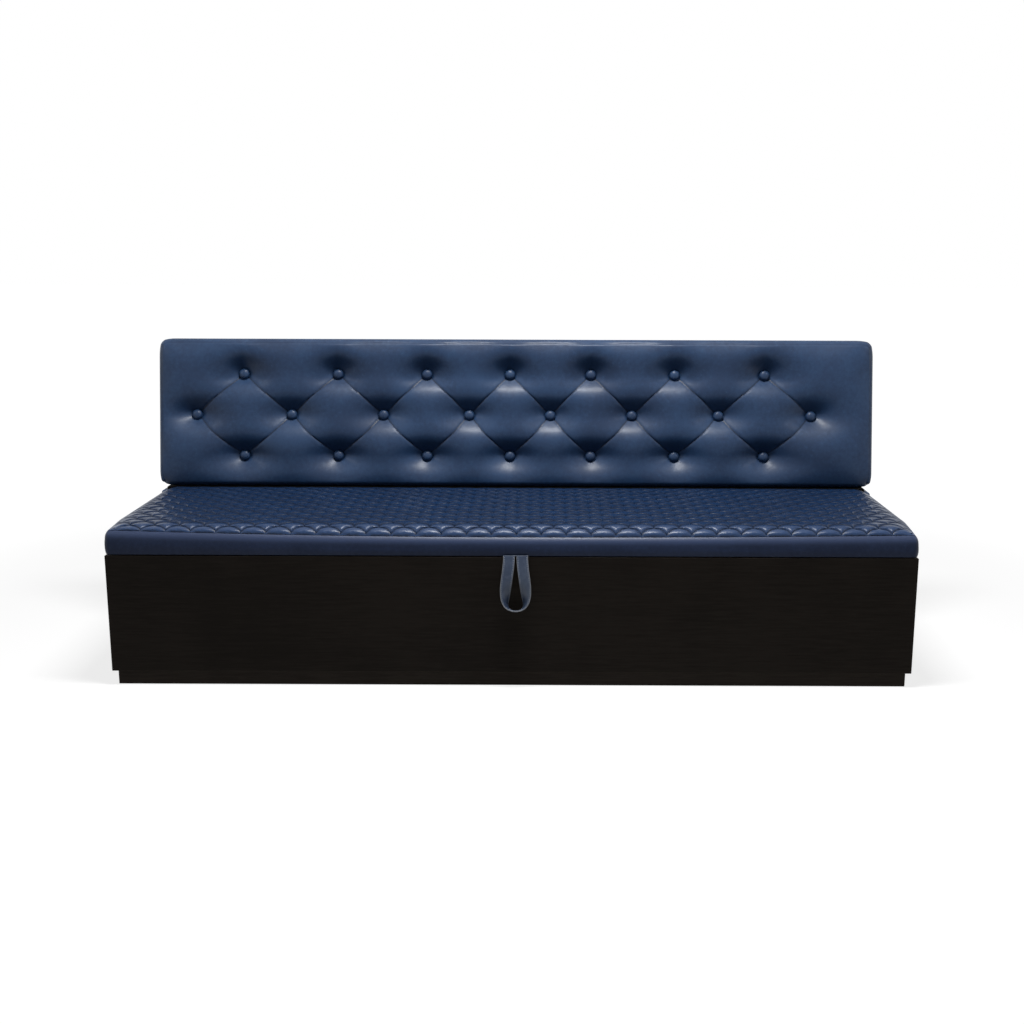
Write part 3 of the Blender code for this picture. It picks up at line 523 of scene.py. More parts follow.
# Painted shade: a near-black copy of the laminate for the back's base board, seen in the gap under the
# back.
SHADED_GAP_LAMINATE = laminate("gap_laminate_painted_shade", 0.2)
CAD_FINISHES = {
    "laminate": laminate("black_laminate", 1.0),
    "plywood": plywood("pale_plywood"),
    "foam": foam("cream_foam"),
    "cloth": lining_cloth("black_lining"),
    "black_steel": steel("black_hardware_paint", (0.030, 0.030, 0.032), 0.38),
    "steel": steel("zinc_steel", (0.50, 0.50, 0.51), 0.33),
    "rubber": rubber("black_rubber"),
    "leather": LEATHER,
}


def finish_frame():
    """Give every CAD node its finish, by the material that the CAD named, with a paler laminate on the
    plinth and a painted-shade laminate on the back's base board.
    """
    for node in frame["nodes"].values():
        named = node.material_slots[0].material.name.split(".")[0]
        finish = PLINTH_LAMINATE if "plinth" in node.name else CAD_FINISHES[named]
        # Painted shade on the back's base board, which shows in the gap.
        node.material_slots[0].material = SHADED_GAP_LAMINATE if node.name == "back_base_board" else finish


# Building.
def mesh_of(name, build):
    """Turn a bmesh into a mesh."""
    mesh = bpy.data.meshes.new(name)
    build.to_mesh(mesh)
    build.free()
    return mesh


def placed(name, data):
    """Put a mesh, a lamp or a camera into the scene."""
    thing = bpy.data.objects.new(name, data)
    scene.collection.objects.link(thing)
    return thing


def made(name, build, materials, body, stands_for=(), sharp=40.0):
    """Turn a bmesh into a smooth piece that rides on a body and stands for CAD nodes."""
    mesh = mesh_of(name, build)
    for material in materials:
        mesh.materials.append(material)
    mesh.shade_smooth()
    mesh.set_sharp_from_angle(angle=radians(sharp))
    piece = placed(name, mesh)
    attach(piece, body)
    if stands_for:
        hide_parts(*stands_for)
    return piece


def boundary(build):
    return [edge for edge in build.edges if edge.is_boundary]


def drawn_on(build, rim, move):
    """Draw a rim of edges on by one step, place its new vertices by move, and return the new rim."""
    drawn = bmesh.ops.extrude_edge_only(build, edges=rim)["geom"]
    for vertex in drawn:
        if isinstance(vertex, bmesh.types.BMVert):
            vertex.co = move(vertex)
    return [edge for edge in drawn if isinstance(edge, bmesh.types.BMEdge) and edge.is_boundary]


def face_out(build):
    bmesh.ops.recalc_face_normals(build, faces=build.faces)


def block(build, low, high):
    """Add a box between two corners."""
    size = Matrix.Diagonal((*(high - low), 1.0))
    bmesh.ops.create_cube(build, size=1.0, matrix=Matrix.Translation((low + high) / 2) @ size)


def round_off(build, edges, offset, segments):
    """Round edges of a build."""
    bmesh.ops.bevel(build, geom=list(edges), offset=offset, affect="EDGES", segments=segments,
                    profile=0.5, material=-1)


def add_turned(build, profile, sides, place):
    """Add a shape turned from a profile of distances from its axis and heights, at its place."""
    one = bmesh.new()
    points = [one.verts.new((out, 0, rise)) for out, rise in profile]
    edges = [one.edges.new(pair) for pair in zip(points, points[1:])]
    bmesh.ops.spin(one, geom=points + edges, axis=(0, 0, 1), cent=(0, 0, 0), angle=2 * pi, steps=sides,
                   use_merge=True)
    bmesh.ops.remove_doubles(one, verts=one.verts, dist=DOUBLES)
    bmesh.ops.transform(one, matrix=place, verts=one.verts)
    mesh = mesh_of("turned", one)
    build.from_mesh(mesh)
    bpy.data.meshes.remove(mesh)


def subdivide(piece, name, levels):
    """Smooth a piece by subdivision."""
    smooth = piece.modifiers.new(name, "SUBSURF")
    smooth.levels = levels
    smooth.render_levels = levels


def thicken(piece, name, thickness):
    """Give a sheet its thickness, half of it on each side."""
    wall = piece.modifiers.new(name, "SOLIDIFY")
    wall.thickness = thickness
    wall.offset = 0.0
    return wall


def rounded_corner(across, up, half_across, half_up, radius):
    """Move a point of a rectangle's grid so that the rectangle's corners are round."""
    over_x = abs(across) - (half_across - radius)
    over_y = abs(up) - (half_up - radius)
    if over_x <= 0 or over_y <= 0:
        return across, up
    pull = max(over_x, over_y) / hypot(over_x, over_y)
    new_x = half_across - radius + over_x * pull
    new_y = half_up - radius + over_y * pull
    return (new_x if across > 0 else -new_x), (new_y if up > 0 else -new_y)


def outward(across, up, half_across, half_up, radius):
    """The outward direction at a point of a rounded rectangle's edge."""
    inner_x = max(-half_across + radius, min(half_across - radius, across))
    inner_y = max(-half_up + radius, min(half_up - radius, up))
    return Vector((across - inner_x, up - inner_y)).normalized()


def rolled(edge, radius):
    """How far a round edge falls back at a distance from its outline."""
    inside = min(max(edge, 0.0), radius)
    return radius - sqrt(radius ** 2 - (radius - inside) ** 2)


def eased(value):
    """A smooth step from 0 to 1."""
    held = min(max(value, 0.0), 1.0)
    return held * held * (3 - 2 * held)


# The tufted back.
back_side = BACK_HIGH.x
back_half = (BACK_HIGH.z - BACK_LOW.z) / 2
back_middle = (BACK_HIGH.z + BACK_LOW.z) / 2
last_column = (BUTTON_COLUMNS - 1) / 2
button_span = back_side - BUTTON_END_GAP
button_middle = back_middle - BUTTON_ROW_DROP
button_pitch = 2 * button_span / (BUTTON_COLUMNS - 1)
crease_pitch = 1 / hypot(1 / button_pitch, 1 / (2 * BUTTON_ROW_PITCH))


def back_plane(height):
    """The y of the leaning front plane of the back at a height."""
    return HINGE.y + (height - BACK_LOW.z) * tan(BACK_RECLINE)


def back_facing(point):
    """The direction out of the back's outline at a point of its edge."""
    return outward(point.x, point.z - back_middle, back_side, back_half, BACK_CORNER)


def button_x(column):
    """The x of a button column, counted in pitches from the middle of the field."""
    share = column / last_column
    crowd = BUTTON_CROWD * sin(pi * share)
    return button_span * share - crowd + BUTTON_SHIFT + BUTTON_LEAN * cos(pi * share)


def button_spots(row):
    """The places of one row's buttons on the back: -1 bottom, 0 middle, 1 top."""
    count = BUTTON_COLUMNS if row == 0 else BUTTON_COLUMNS - 1
    height = button_middle + row * BUTTON_ROW_PITCH
    return [(button_x(place - (count - 1) / 2), height) for place in range(count)]


BUTTONS = {"top": button_spots(1), "middle": button_spots(0), "bottom": button_spots(-1)}
BUTTON_PLACES = [spot for spots in BUTTONS.values() for spot in spots]


def margin_steps(reach):
    """Distances from the outline to the button field: fine at the roll and its seam, then even."""
    seam = (BOXING_SEAM - BOXING_SEAM_WIDTH, BOXING_SEAM, BOXING_SEAM + BOXING_SEAM_WIDTH)
    span = reach - BACK_ROLL_END
    count = round(span / MARGIN_STEP)
    even = [BACK_ROLL_END + span * step / count for step in range(count)]
    return [*BACK_ROLL_STEPS, *seam, *even]


def back_columns():
    """The x of each grid column of the back with its place in button pitches."""
    count = round(2 * last_column * CREASE_STEPS)
    inner = [-last_column + step / CREASE_STEPS for step in range(count + 1)]
    field = [(button_x(place), place) for place in inner]
    left, right = field[0][0] + back_side, back_side - field[-1][0]
    before = [(-back_side + step, -last_column - (left - step) / button_pitch)
              for step in margin_steps(left)]
    after = [(back_side - step, last_column + (right - step) / button_pitch)
             for step in margin_steps(right)]
    return before + field + after[::-1]


def back_rows():
    """The height of each grid row of the back with its place in row pitches."""
    count = CREASE_STEPS // 2
    field = [button_middle + step / count * BUTTON_ROW_PITCH for step in range(-count, count + 1)]
    low = [BACK_LOW.z + step for step in margin_steps(field[0] - BACK_LOW.z)]
    high = [BACK_HIGH.z - step for step in margin_steps(BACK_HIGH.z - field[-1])]
    heights = low + field + high[::-1]
    return [(height, (height - button_middle) / BUTTON_ROW_PITCH) for height in heights]


def fold_counts(place, level):
    """Where a point lies among the folds between neighbouring buttons.

    Its two counts across the folds, and its distances outside the diamonds and the button rows.
    """
    held = max(-1.0, min(1.0, level))
    rise = place + held / 2 - last_column
    fall = place - held / 2 - last_column
    outside = max(-2 * last_column - min(rise, fall), max(rise, fall), 0.0) * crease_pitch
    beyond = (abs(level) - abs(held)) * BUTTON_ROW_PITCH
    return rise, fall, outside, beyond


def fold_distances(place, level):
    """A point's distances from the nearest fold, and above or below the button rows."""
    rise, fall, outside, beyond = fold_counts(place, level)
    near = min(abs(rise - round(rise)), abs(fall - round(fall))) * crease_pitch
    return max(outside, near), beyond


def pillow_depth(place, level):
    """How far the folds draw the leather in, with a pillow in each diamond."""
    rise, fall, outside, beyond = fold_counts(place, level)
    depth = PILLOW * exp(-outside / PILLOW_FADE)
    if outside == 0:
        depth = PILLOW * (1 - sqrt(abs(sin(pi * rise) * sin(pi * fall))))
    return depth * exp(-(beyond / PILLOW_TOP_FADE) ** 2)


def dimple_depth(x, z):
    """How far the buttons draw the leather in."""
    depth = 0.0
    for spot_x, spot_z in BUTTON_PLACES:
        across, up = x - spot_x, z - spot_z
        away = hypot(across / TUFT_HALF_WIDTH, up / (TUFT_ABOVE if up > 0 else TUFT_BELOW))
        if away < TUFT_REACH:
            depth += TUFT_DEPTH * log(1 + exp(TUFT_RIM * (1 - away))) / TUFT_RIM
            depth += TUFT_NECK * exp(-hypot(across, up) / TUFT_NECK_RADIUS)
    return depth


def back_form(x, z, place, level):
    """How far the leather lies behind the front plane, and its distances from the boxing and the bottom."""
    upper = min(back_side - abs(x), BACK_HIGH.z - z)
    lower = z - BACK_LOW.z
    inward = max(rolled(upper, BACK_ROLL), rolled(lower, BOTTOM_ROLL) * BOTTOM_ROLL_DEPTH / BOTTOM_ROLL)
    scalloped = eased(TOP_SCALLOP_RISE * (level - 1.0))
    between = sin(pi * place) ** 2
    width = BACK_PUFF_WIDTH * (1 - TOP_SCALLOP_PINCH * scalloped * (1 - between))
    shift = TOP_SCALLOP * scalloped * between
    puff = min(eased((upper - shift) / width), eased((lower - BOTTOM_PUFF_START) / BOTTOM_PUFF_WIDTH))
    dimple = dimple_depth(x, z) * eased(upper / RIM_HOLD)
    return inward + pillow_depth(place, level) + dimple - BACK_PUFF * puff, upper, lower


def rear_of(point, side):
    """The y where the cover ends: before the rear panel under the back, and flush with it elsewhere."""
    under = side.y < -0.5 and abs(point.x) < REAR_PANEL_HIGH.x + REAR_FIT
    return REAR_PANEL_LOW.y - REAR_FIT if under else BACK_HIGH.y


def boxed(share):
    """A move that draws the back's rim towards the rear, with the top falling square to the front."""
    def move(vertex):
        point = vertex.co
        side = back_facing(point)
        step = (rear_of(point, side) - REAR_ROLL - point.y) * share
        return Vector((point.x, point.y + step, point.z - max(0.0, side.y) * step * tan(BACK_RECLINE)))
    return move


def back_sheet():
    """The unstuffed cover: a tufted front and its boxing, closed at the rear, held where it is sewn."""
    columns, rows = back_columns(), back_rows()
    across, up = len(columns) - 1, len(rows) - 1
    build = bmesh.new()
    layers = [build.verts.layers.float.new(name) for name in GRID_LAYERS]
    sewn = build.verts.layers.deform.verify()
    bmesh.ops.create_grid(build, x_segments=across, y_segments=up, size=0.5)
    for vertex in build.verts:
        x, place = columns[round((vertex.co.x + 0.5) * across)]
        z, level = rows[round((vertex.co.y + 0.5) * up)]
        if abs(level) < 1 and abs(place) <= last_column:
            x += CREASE_BOW * sin(pi * abs(level)) * sin(2 * pi * (place - last_column - 0.5))
        inward, edge, lower = back_form(x, z, place, level)
        near, beyond = fold_distances(place, level)
        held = min(edge, lower) < BACK_ROLL or (near < CREASE_SEWN and beyond == 0)
        vertex[sewn][0] = 1.0 if held else 0.0
        for layer, value in zip(layers, (place, level, edge)):
            vertex[layer] = value
        x, z = rounded_corner(x, z - back_middle, back_side, back_half, BACK_CORNER)
        z += back_middle
        vertex.co = (x, back_plane(z) + inward, z)
    rim = boundary(build)
    for share in (0.5, 1.0):
        rim = drawn_on(build, rim, boxed(share))
    bmesh.ops.contextual_create(build, geom=rim)
    face_out(build)
    sheet = placed("back_sheet", mesh_of("back_sheet", build))
    sheet.vertex_groups.new(name="sewn")
    return sheet


def settled(sheet):
    """A sheet's mesh with its modifiers applied."""
    return bpy.data.meshes.new_from_object(sheet.evaluated_get(bpy.context.evaluated_depsgraph_get()))


def stuff(sheet):
    """Blow the cover up between the places where it is sewn, and keep the result, capped."""
    cloth = sheet.modifiers.new("stuffing", "CLOTH")
    cloth.settings.vertex_group_mass = "sewn"
    cloth.settings.use_pressure = True
    cloth.settings.uniform_pressure_force = STUFFING_PRESSURE
    cloth.settings.effector_weights.gravity = 0.0
    cloth.collision_settings.use_collision = False
    cloth.point_cache.frame_end = STUFFING_FRAMES
    for step in range(1, STUFFING_FRAMES + 1):
        scene.frame_set(step)
    swollen = settled(sheet)
    sheet.modifiers.remove(cloth)
    scene.frame_set(1)
    for vertex, grown in zip(sheet.data.vertices, swollen.vertices):
        move = grown.co - vertex.co
        if move.length > SWELL_CAP:
            move.length = SWELL_CAP
        vertex.co += move
    bpy.data.meshes.remove(swollen)


def split_folds(build, fold):
    """Split each square of a tufted grid along its deeper diagonal, so that folds run straight."""
    for face in build.faces[:]:
        first, second, third, fourth = face.verts
        if first[fold] + third[fold] >= second[fold] + fourth[fold]:
            bmesh.utils.face_split(face, first, third)
        else:
            bmesh.utils.face_split(face, second, fourth)


def press_folds(build):
    """Press the thin creases between the buttons and the boxing's seam into the stuffed cover, and mark
    them for painted shade.
    """
    layers = build.verts.layers.float
    fold = layers.new("fold")
    place, level, edge = [layers[name] for name in GRID_LAYERS]
    for vertex in build.verts:
        near, beyond = fold_distances(vertex[place], vertex[level])
        crease = exp(-near / CREASE_WIDTH - beyond / CREASE_WIDTH)
        seam = exp(-((vertex[edge] - BOXING_SEAM) / BOXING_SEAM_WIDTH) ** 2)
        vertex.co.y += CREASE_CUT * crease + BOXING_SEAM_DEPTH * seam
        # Painted shade along the creases and the boxing seam.
        vertex[fold] = max(crease, BOXING_SEAM_SHADE * seam)
    split_folds(build, fold)
    for name in GRID_LAYERS:
        layers.remove(layers[name])


def rear_roll(step):
    """A move that turns the rim one step round the rear edge."""
    start, end = [pi / 2 * count / REAR_ROLL_STEPS for count in (step - 1, step)]
    back = REAR_ROLL * (sin(end) - sin(start))
    inset = REAR_ROLL * (cos(start) - cos(end))

    def move(vertex):
        point = vertex.co
        side = back_facing(point)
        return Vector((point.x - side.x * inset, point.y + back, point.z - max(0.0, side.y) * inset))
    return move


def rear_wrap(vertex):
    """The move that takes the rolled rim in to the rear panel's edges."""
    point = vertex.co
    if rear_of(point, back_facing(point)) < BACK_HIGH.y:
        return Vector((point.x, point.y, point.z + REAR_ROLL))
    reach = REAR_PANEL_HIGH.x + REAR_FIT
    return Vector((max(-reach, min(reach, point.x)), point.y, min(REAR_PANEL_HIGH.z + REAR_FIT, point.z)))


def close_rear(build):
    """Turn the boxing round to the rear, and in against the rear panel's edges."""
    rim = boundary(build)
    for step in range(1, REAR_ROLL_STEPS + 1):
        rim = drawn_on(build, rim, rear_roll(step))
    rim = drawn_on(build, rim, rear_wrap)
    drawn_on(build, rim, lambda vertex: vertex.co - Vector((0, REAR_TURN_IN, 0)))


def tufted_back():
    """The padded cover of the back: a stuffed, buttoned front, its boxing, and a rim at the rear."""
    sheet = back_sheet()
    stuff(sheet)
    build = bmesh.new()
    build.from_mesh(sheet.data)
    rear = [face for face in build.faces if len(face.verts) > 4]
    bmesh.ops.delete(build, geom=rear, context="FACES_ONLY")
    build.to_mesh(sheet.data)
    build.free()
    subdivide(sheet, "fine", 2)
    smooth = settled(sheet)
    bpy.data.objects.remove(sheet)
    build = bmesh.new()
    build.from_mesh(smooth)
    bpy.data.meshes.remove(smooth)
    press_folds(build)
    close_rear(build)
    face_out(build)
    cover = made("tufted_back", build, [LEATHER], "base", ["back_cover", "back_foam"], sharp=75.0)
    return cover


def covered_buttons(back):
    """Leather-covered buttons, each seated in its dimple."""
    hide = BVHTree.FromObject(back, bpy.context.evaluated_depsgraph_get())
    profile = [(BUTTON_RADIUS * out, BUTTON_DOME * rise) for out, rise in BUTTON_PROFILE]
    turns = [2 * pi * step / BUTTON_FEELERS for step in range(BUTTON_FEELERS)]
    lean = Matrix.Rotation(pi / 2 - BACK_RECLINE, 4, "X")
    for title, spots in BUTTONS.items():
        build = bmesh.new()
        for x, z in spots:
            rests = []
            for turn in turns:
                before = Vector((x + BUTTON_RADIUS * cos(turn), -1.0, z + BUTTON_RADIUS * sin(turn)))
                rests.append(hide.ray_cast(before, Vector((0, 1, 0)))[0].y)
            place = Matrix.Translation((x, sum(rests) / len(rests) - BUTTON_PROUD, z)) @ lean
            add_turned(build, profile, BUTTON_SIDES, place)
        face_out(build)
        piece = made(title + "_buttons", build, [LEATHER], "base", [title + "_button_row"], sharp=60.0)


def covered_risers():
    """The leather-wrapped blocks that carry the ends of the back, with rolled edges."""
    for side in ("left", "right"):
        build = bmesh.new()
        block(build, *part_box(side + "_riser"))
        round_off(build, build.edges, RISER_ROLL, 5)
        wrapped = made(side + "_riser_cover", build, [LEATHER], "base", [side + "_riser"])


# The quilted seat.
top_side = BORDER_HIGH.x - SEAM_INSET
top_front = BORDER_LOW.y + SEAM_INSET
top_rear = SEAT_HIGH.y
top_level = SEAT_HIGH.z - SCALE_ROOM
top_base = SEAT_LOW.z - SEAT_BASE_FIT
top_middle = (top_front + top_rear) / 2
top_half = (top_rear - top_front) / 2
top_corner = SEAT_CORNER - SEAM_INSET
roll_radius = SEAT_ROLL / SEAT_TURN
sheet_length = top_rear - top_front - roll_radius * sin(SEAT_TURN) + SEAT_ROLL


def seam_height(x, y):
    """The height of the seat's seam, which sags along the front and is level along the sides."""
    rise = SEAM_RISE_LEFT if x < 0 else SEAM_RISE_RIGHT
    front = SEAM_MIDDLE + rise * (x / top_side) ** 2
    return front + (SEAM_SIDE - front) * eased((y - top_front) / SEAM_SIDE_EASE)


def scale_patch():
    """One sewn scale, pointed at the front and arched at the back, with a padded middle."""
    half = SCALE_WIDTH / 2
    quarters = ((half, -SCALE_ROW, pi, pi / 2), (0, 0, 0, pi / 2),
                (0, 0, pi / 2, pi), (-half, -SCALE_ROW, pi / 2, 0))
    build = bmesh.new()
    outline = []
    for centre_x, centre_y, start, end in quarters:
        for step in range(QUARTER_STEPS):
            turn = start + (end - start) * step / QUARTER_STEPS
            spot = (centre_x + half * cos(turn), centre_y + SCALE_ROW * sin(turn), 0)
            outline.append(build.verts.new(spot))
    face = build.faces.new(outline)
    reached = 1.0
    for share, rise in SCALE_DOME:
        face = bmesh.ops.extrude_discrete_faces(build, faces=[face])["faces"][0]
        bmesh.ops.scale(build, vec=(share / reached, share / reached, 1), verts=face.verts)
        for vertex in face.verts:
            vertex.co.z = SCALE_HEIGHT * rise
        reached = share
    bmesh.ops.poke(build, faces=[face])
    return mesh_of("scale", build)


def wander(point):
    """The sewing's small drift from a perfect pattern."""
    drift = noise.noise_vector(Vector((point.x * 4.0, point.y * 9.0, 0.0)))
    return Vector((point.x + SCALE_WANDER * drift.x, point.y + SCALE_WANDER * drift.y, point.z))


def scale_sheet():
    """Staggered rows of scales sewn into one flat sheet, cut to the seat's outline."""
    patch = scale_patch()
    build = bmesh.new()
    rows = round(sheet_length / SCALE_ROW) + 2
    columns = round(top_side / SCALE_WIDTH) + 2
    for row in range(-1, rows):
        for column in range(-columns, columns + 1):
            x = SCALE_SHIFT + (column + (row + 1) % 2 / 2) * SCALE_WIDTH
            place = Matrix.Translation((x, row * SCALE_ROW, 0))
            patch.transform(place)
            build.from_mesh(patch)
            patch.transform(place.inverted())
    bpy.data.meshes.remove(patch)
    bmesh.ops.remove_doubles(build, verts=build.verts, dist=0.0002)
    for vertex in build.verts:
        vertex.co = wander(vertex.co)
    sides = (((top_side, 0, 0), (1, 0, 0)), ((-top_side, 0, 0), (-1, 0, 0)),
             ((0, 0, 0), (0, -1, 0)), ((0, sheet_length, 0), (0, 1, 0)))
    for spot, side in sides:
        whole = build.verts[:] + build.edges[:] + build.faces[:]
        bmesh.ops.bisect_plane(build, geom=whole, dist=0.0003, plane_co=spot, plane_no=side,
                               clear_outer=True)
    return build


def seat_form(x, along, padding):
    """A point of the seat top, at a length along the sheet from the front seam, with its padding."""
    turn = SEAT_TURN * max(0.0, 1 - along / SEAT_ROLL)
    y = top_front + roll_radius * (sin(SEAT_TURN) - sin(turn)) + max(0.0, along - SEAT_ROLL)
    front = (1 - cos(turn)) / (1 - cos(SEAT_TURN))
    side = max(0.0, 1 - (top_side - abs(x)) / SEAT_SIDE_ROLL)
    rear = max(0.0, 1 - (top_rear - y) / SEAT_REAR_ROLL)
    falls = (front, side ** SEAT_FALL, rear ** SEAT_FALL)
    fall = min(1.0, sum(part ** SEAT_BLEND for part in falls) ** (1 / SEAT_BLEND))
    seam = seam_height(x, y)
    tilt = SEAT_TILT * max(0.0, 1 - (y - top_front) / SEAT_TILT_LENGTH) ** SEAT_TILT_POWER
    height = top_level - tilt - seam
    sideways = height * SEAT_FALL * side ** (SEAT_FALL - 1) / SEAT_SIDE_ROLL
    backward = height * SEAT_FALL * rear ** (SEAT_FALL - 1) / SEAT_REAR_ROLL
    lift = Vector((sideways if x > 0 else -sideways, backward - tan(turn), 1.0)).normalized()
    padding *= 1 + FRONT_BOOST * (1 - eased((along - FRONT_PUFFED) / FRONT_FADE))
    padding *= eased((top_rear - y) / SEAT_REAR_EASE) * eased((top_side - abs(x)) / SEAT_SIDE_EASE)
    return Vector((x, y, seam + height * (1 - fall))) + lift * padding


def under_seat(inset, drop=0.0, level=None):
    """A move that takes the sheet's rim in under the seat, and down or to a level."""
    def move(vertex):
        point = vertex.co
        side = outward(point.x, point.y - top_middle, top_side, top_half, top_corner)
        z = point.z - drop if level is None else level
        return Vector((point.x - side.x * inset, point.y - side.y * inset, z))
    return move


def quilted_seat():
    """The quilted top: the sheet of scales laid over the foam, rolled down to the seam and closed below."""
    build = scale_sheet()
    fold, gather, highlight_and_gloss = [build.verts.layers.float.new(name) for name in ("fold", "gather", "highlight_and_gloss")]
    for vertex in build.verts:
        x, along, padding = vertex.co
        edge = min(top_side - abs(x), along, sheet_length - along)
        sewn = eased(edge / SEWN_EDGE)
        front = eased(FRONT_ROWS - along / SCALE_ROW)
        point = seat_form(x, along, padding * sewn)
        # Painted shade in each scale's sunken edge, stronger in the front rows.
        sunk = (1 - padding / SCALE_HEIGHT) ** (1.5 + 1.5 * front)
        vertex[fold] = (0.85 + 0.15 * front) * sunk * sewn
        vertex[gather] = max(0.0, 1 - along / GATHER_LENGTH)
        # Painted highlight, with a glossier coat, on the front rows.
        vertex[highlight_and_gloss] = front
        if point.y < top_middle:
            x, y = rounded_corner(point.x, point.y - top_middle, top_side, top_half, top_corner)
            point = Vector((x, y + top_middle, point.z))
        vertex.co = point
    rim = boundary(build)
    moves = (under_seat(SEAM_TUCK / 2, SEAM_TUCK / 2), under_seat(SEAM_TUCK), under_seat(SEAM_LIP),
             under_seat(0.0, level=top_base))
    for move in moves:
        rim = drawn_on(build, rim, move)
    bmesh.ops.contextual_create(build, geom=rim)
    face_out(build)
    seat = made("quilted_seat", build, [SHADED_SEAT_LEATHER], "lid", ["seat_top", "seat_foam"], sharp=60.0)


border_radius = SEAM_INSET / (1 - cos(BORDER_TOP_TURN))
border_roll = border_radius * sin(BORDER_TOP_TURN)


def border_path():
    """Points along the seat's outline with their facing, from the rear left round to the rear right."""
    side, front, rear = BORDER_HIGH.x, BORDER_LOW.y, BORDER_HIGH.y
    arc_x, arc_y = side - SEAT_CORNER, front + SEAT_CORNER

    def run(start, end, turn, count):
        return [(Vector(start).lerp(Vector(end), step / count), turn) for step in range(count + 1)]

    def corner(middle, start):
        turns = [start + pi / 2 * step / BORDER_CORNER_STEPS for step in range(BORDER_CORNER_STEPS + 1)]
        return [(Vector((middle, arc_y)) + SEAT_CORNER * Vector((cos(turn), sin(turn))), turn)
                for turn in turns]

    left = run((-side, rear), (-side, arc_y), pi, BORDER_SIDE_STEPS)
    middle = run((-arc_x, front), (arc_x, front), 1.5 * pi, BORDER_FRONT_STEPS)
    right = run((side, arc_y), (side, rear), 2 * pi, BORDER_SIDE_STEPS)
    return left[:-1] + corner(-arc_x, pi) + middle[1:-1] + corner(arc_x, 1.5 * pi) + right[1:]


def border_section():
    """The band's section from inside round the face: how far out, above its bottom and below its top."""
    section = [(-BORDER_WALL, 0.0, 0.0), (-2.4 * BORDER_LOW_ROLL, 0.0, 0.0)]
    for turn in (0.0, pi / 6, pi / 3, pi / 2):
        drop = BORDER_LOW_ROLL * (1 - cos(turn)) - BORDER_HANG
        section.append((-BORDER_LOW_ROLL * (1 - sin(turn)), drop, 0.0))
    for share in (0.2, 0.4, 0.6, 0.8):
        section.append((BORDER_BULGE * sin(pi * share), share, None))
    for step in range(BORDER_ROLL_STEPS + 1):
        turn = BORDER_TOP_TURN * step / BORDER_ROLL_STEPS
        section.append((border_radius * (cos(turn) - 1), None, border_roll - border_radius * sin(turn)))
    return section + [(-BORDER_WALL, None, BORDER_TOP_LAP)]


def seat_border():
    """The leather band round the seat's edge, full in the middle, drawn in at the seam and below."""
    path = border_path()
    build = bmesh.new()
    count = build.verts.layers.int.new("count")
    highlight_and_gloss = build.verts.layers.float.new("highlight_and_gloss")
    line = [build.verts.new((spot.x, spot.y, 0)) for spot, turn in path]
    for number, vertex in enumerate(line):
        vertex[count] = number
    rim = [build.edges.new(pair) for pair in zip(line, line[1:])]

    def band(out, rise, drop):
        def move(vertex):
            spot, turn = path[vertex[count]]
            top = seam_height(spot.x, spot.y + SEAM_INSET) - BORDER_TOP_FIT
            start = BORDER_LOW.z - BORDER_HANG + BORDER_LOW_ROLL
            puff = 0.0
            if rise is None:
                z = top - drop
                # Painted highlight, with a glossier coat, fading down from the top roll.
                vertex[highlight_and_gloss] = eased(BORDER_HIGHLIGHT_REACH - drop / border_roll)
            elif drop is None:
                z = start + (top - border_roll - start) * rise
                puff = BORDER_WAVE * noise.noise(Vector((spot.x * 9.0, spot.y * 9.0, rise * 2.0)))
            else:
                z = BORDER_LOW.z + rise
            place = spot + Vector((cos(turn), sin(turn))) * (out + puff)
            return Vector((place.x, place.y, z))
        return move

    section = [band(*step) for step in border_section()]
    for vertex in line:
        vertex.co = section[0](vertex)
    for step in section[1:] + section[:1]:
        rim = drawn_on(build, rim, step)
    bmesh.ops.remove_doubles(build, verts=build.verts, dist=0.00001)
    bmesh.ops.holes_fill(build, edges=boundary(build), sides=0)
    face_out(build)
    build.verts.layers.int.remove(count)
    border = made("leather_border", build, [SHADED_BORDER_LEATHER], "lid", ["seat_border"], sharp=50.0)
    subdivide(border, "smooth_band", 1)


# Under the lid.
def dust_cover():
    """Black cloth stapled under the lid, with a folded hem and a slight sag between its staples."""
    width, length = LINING_HIGH.x - LINING_LOW.x, LINING_HIGH.y - LINING_LOW.y
    middle = (LINING_HIGH.y + LINING_LOW.y) / 2
    across, along = round(width / COVER_STEP), round(length / COVER_STEP)
    build = bmesh.new()
    bmesh.ops.create_grid(build, x_segments=across, y_segments=along, size=0.5)
    for vertex in build.verts:
        x, y = vertex.co.x * width, vertex.co.y * length
        edge = min(width / 2 - abs(x), length / 2 - abs(y))
        waves = 0.7 + 0.6 * noise.noise(Vector((x * 5, y * 5, 2.0)))
        slack = COVER_SAG * eased((edge - COVER_HEM) / COVER_SAG_EASE) * waves
        hem = COVER_THICKNESS * (1 - eased((edge - COVER_HEM) / COVER_STEP))
        vertex.co = (x, middle + y, LINING_HIGH.z - COVER_THICKNESS - slack - hem)
    cover = made("dust_cover", build, [CAD_FINISHES["cloth"]], "lid", ["lid_lining"])
    thicken(cover, "cloth_thickness", COVER_THICKNESS)
    build = bmesh.new()
    for side in (-1, 1):
        for step in range(round(width / STAPLE_PITCH)):
            x = -width / 2 + (step + 0.5) * STAPLE_PITCH
            staple(build, x, middle + side * (length / 2 - COVER_HEM / 2), 0.0)
        for step in range(round(length / STAPLE_PITCH)):
            y = middle - length / 2 + (step + 0.5) * STAPLE_PITCH
            staple(build, side * (width / 2 - COVER_HEM / 2), y, pi / 2)
    made("cover_staples", build, [CAD_FINISHES["steel"]], "lid")


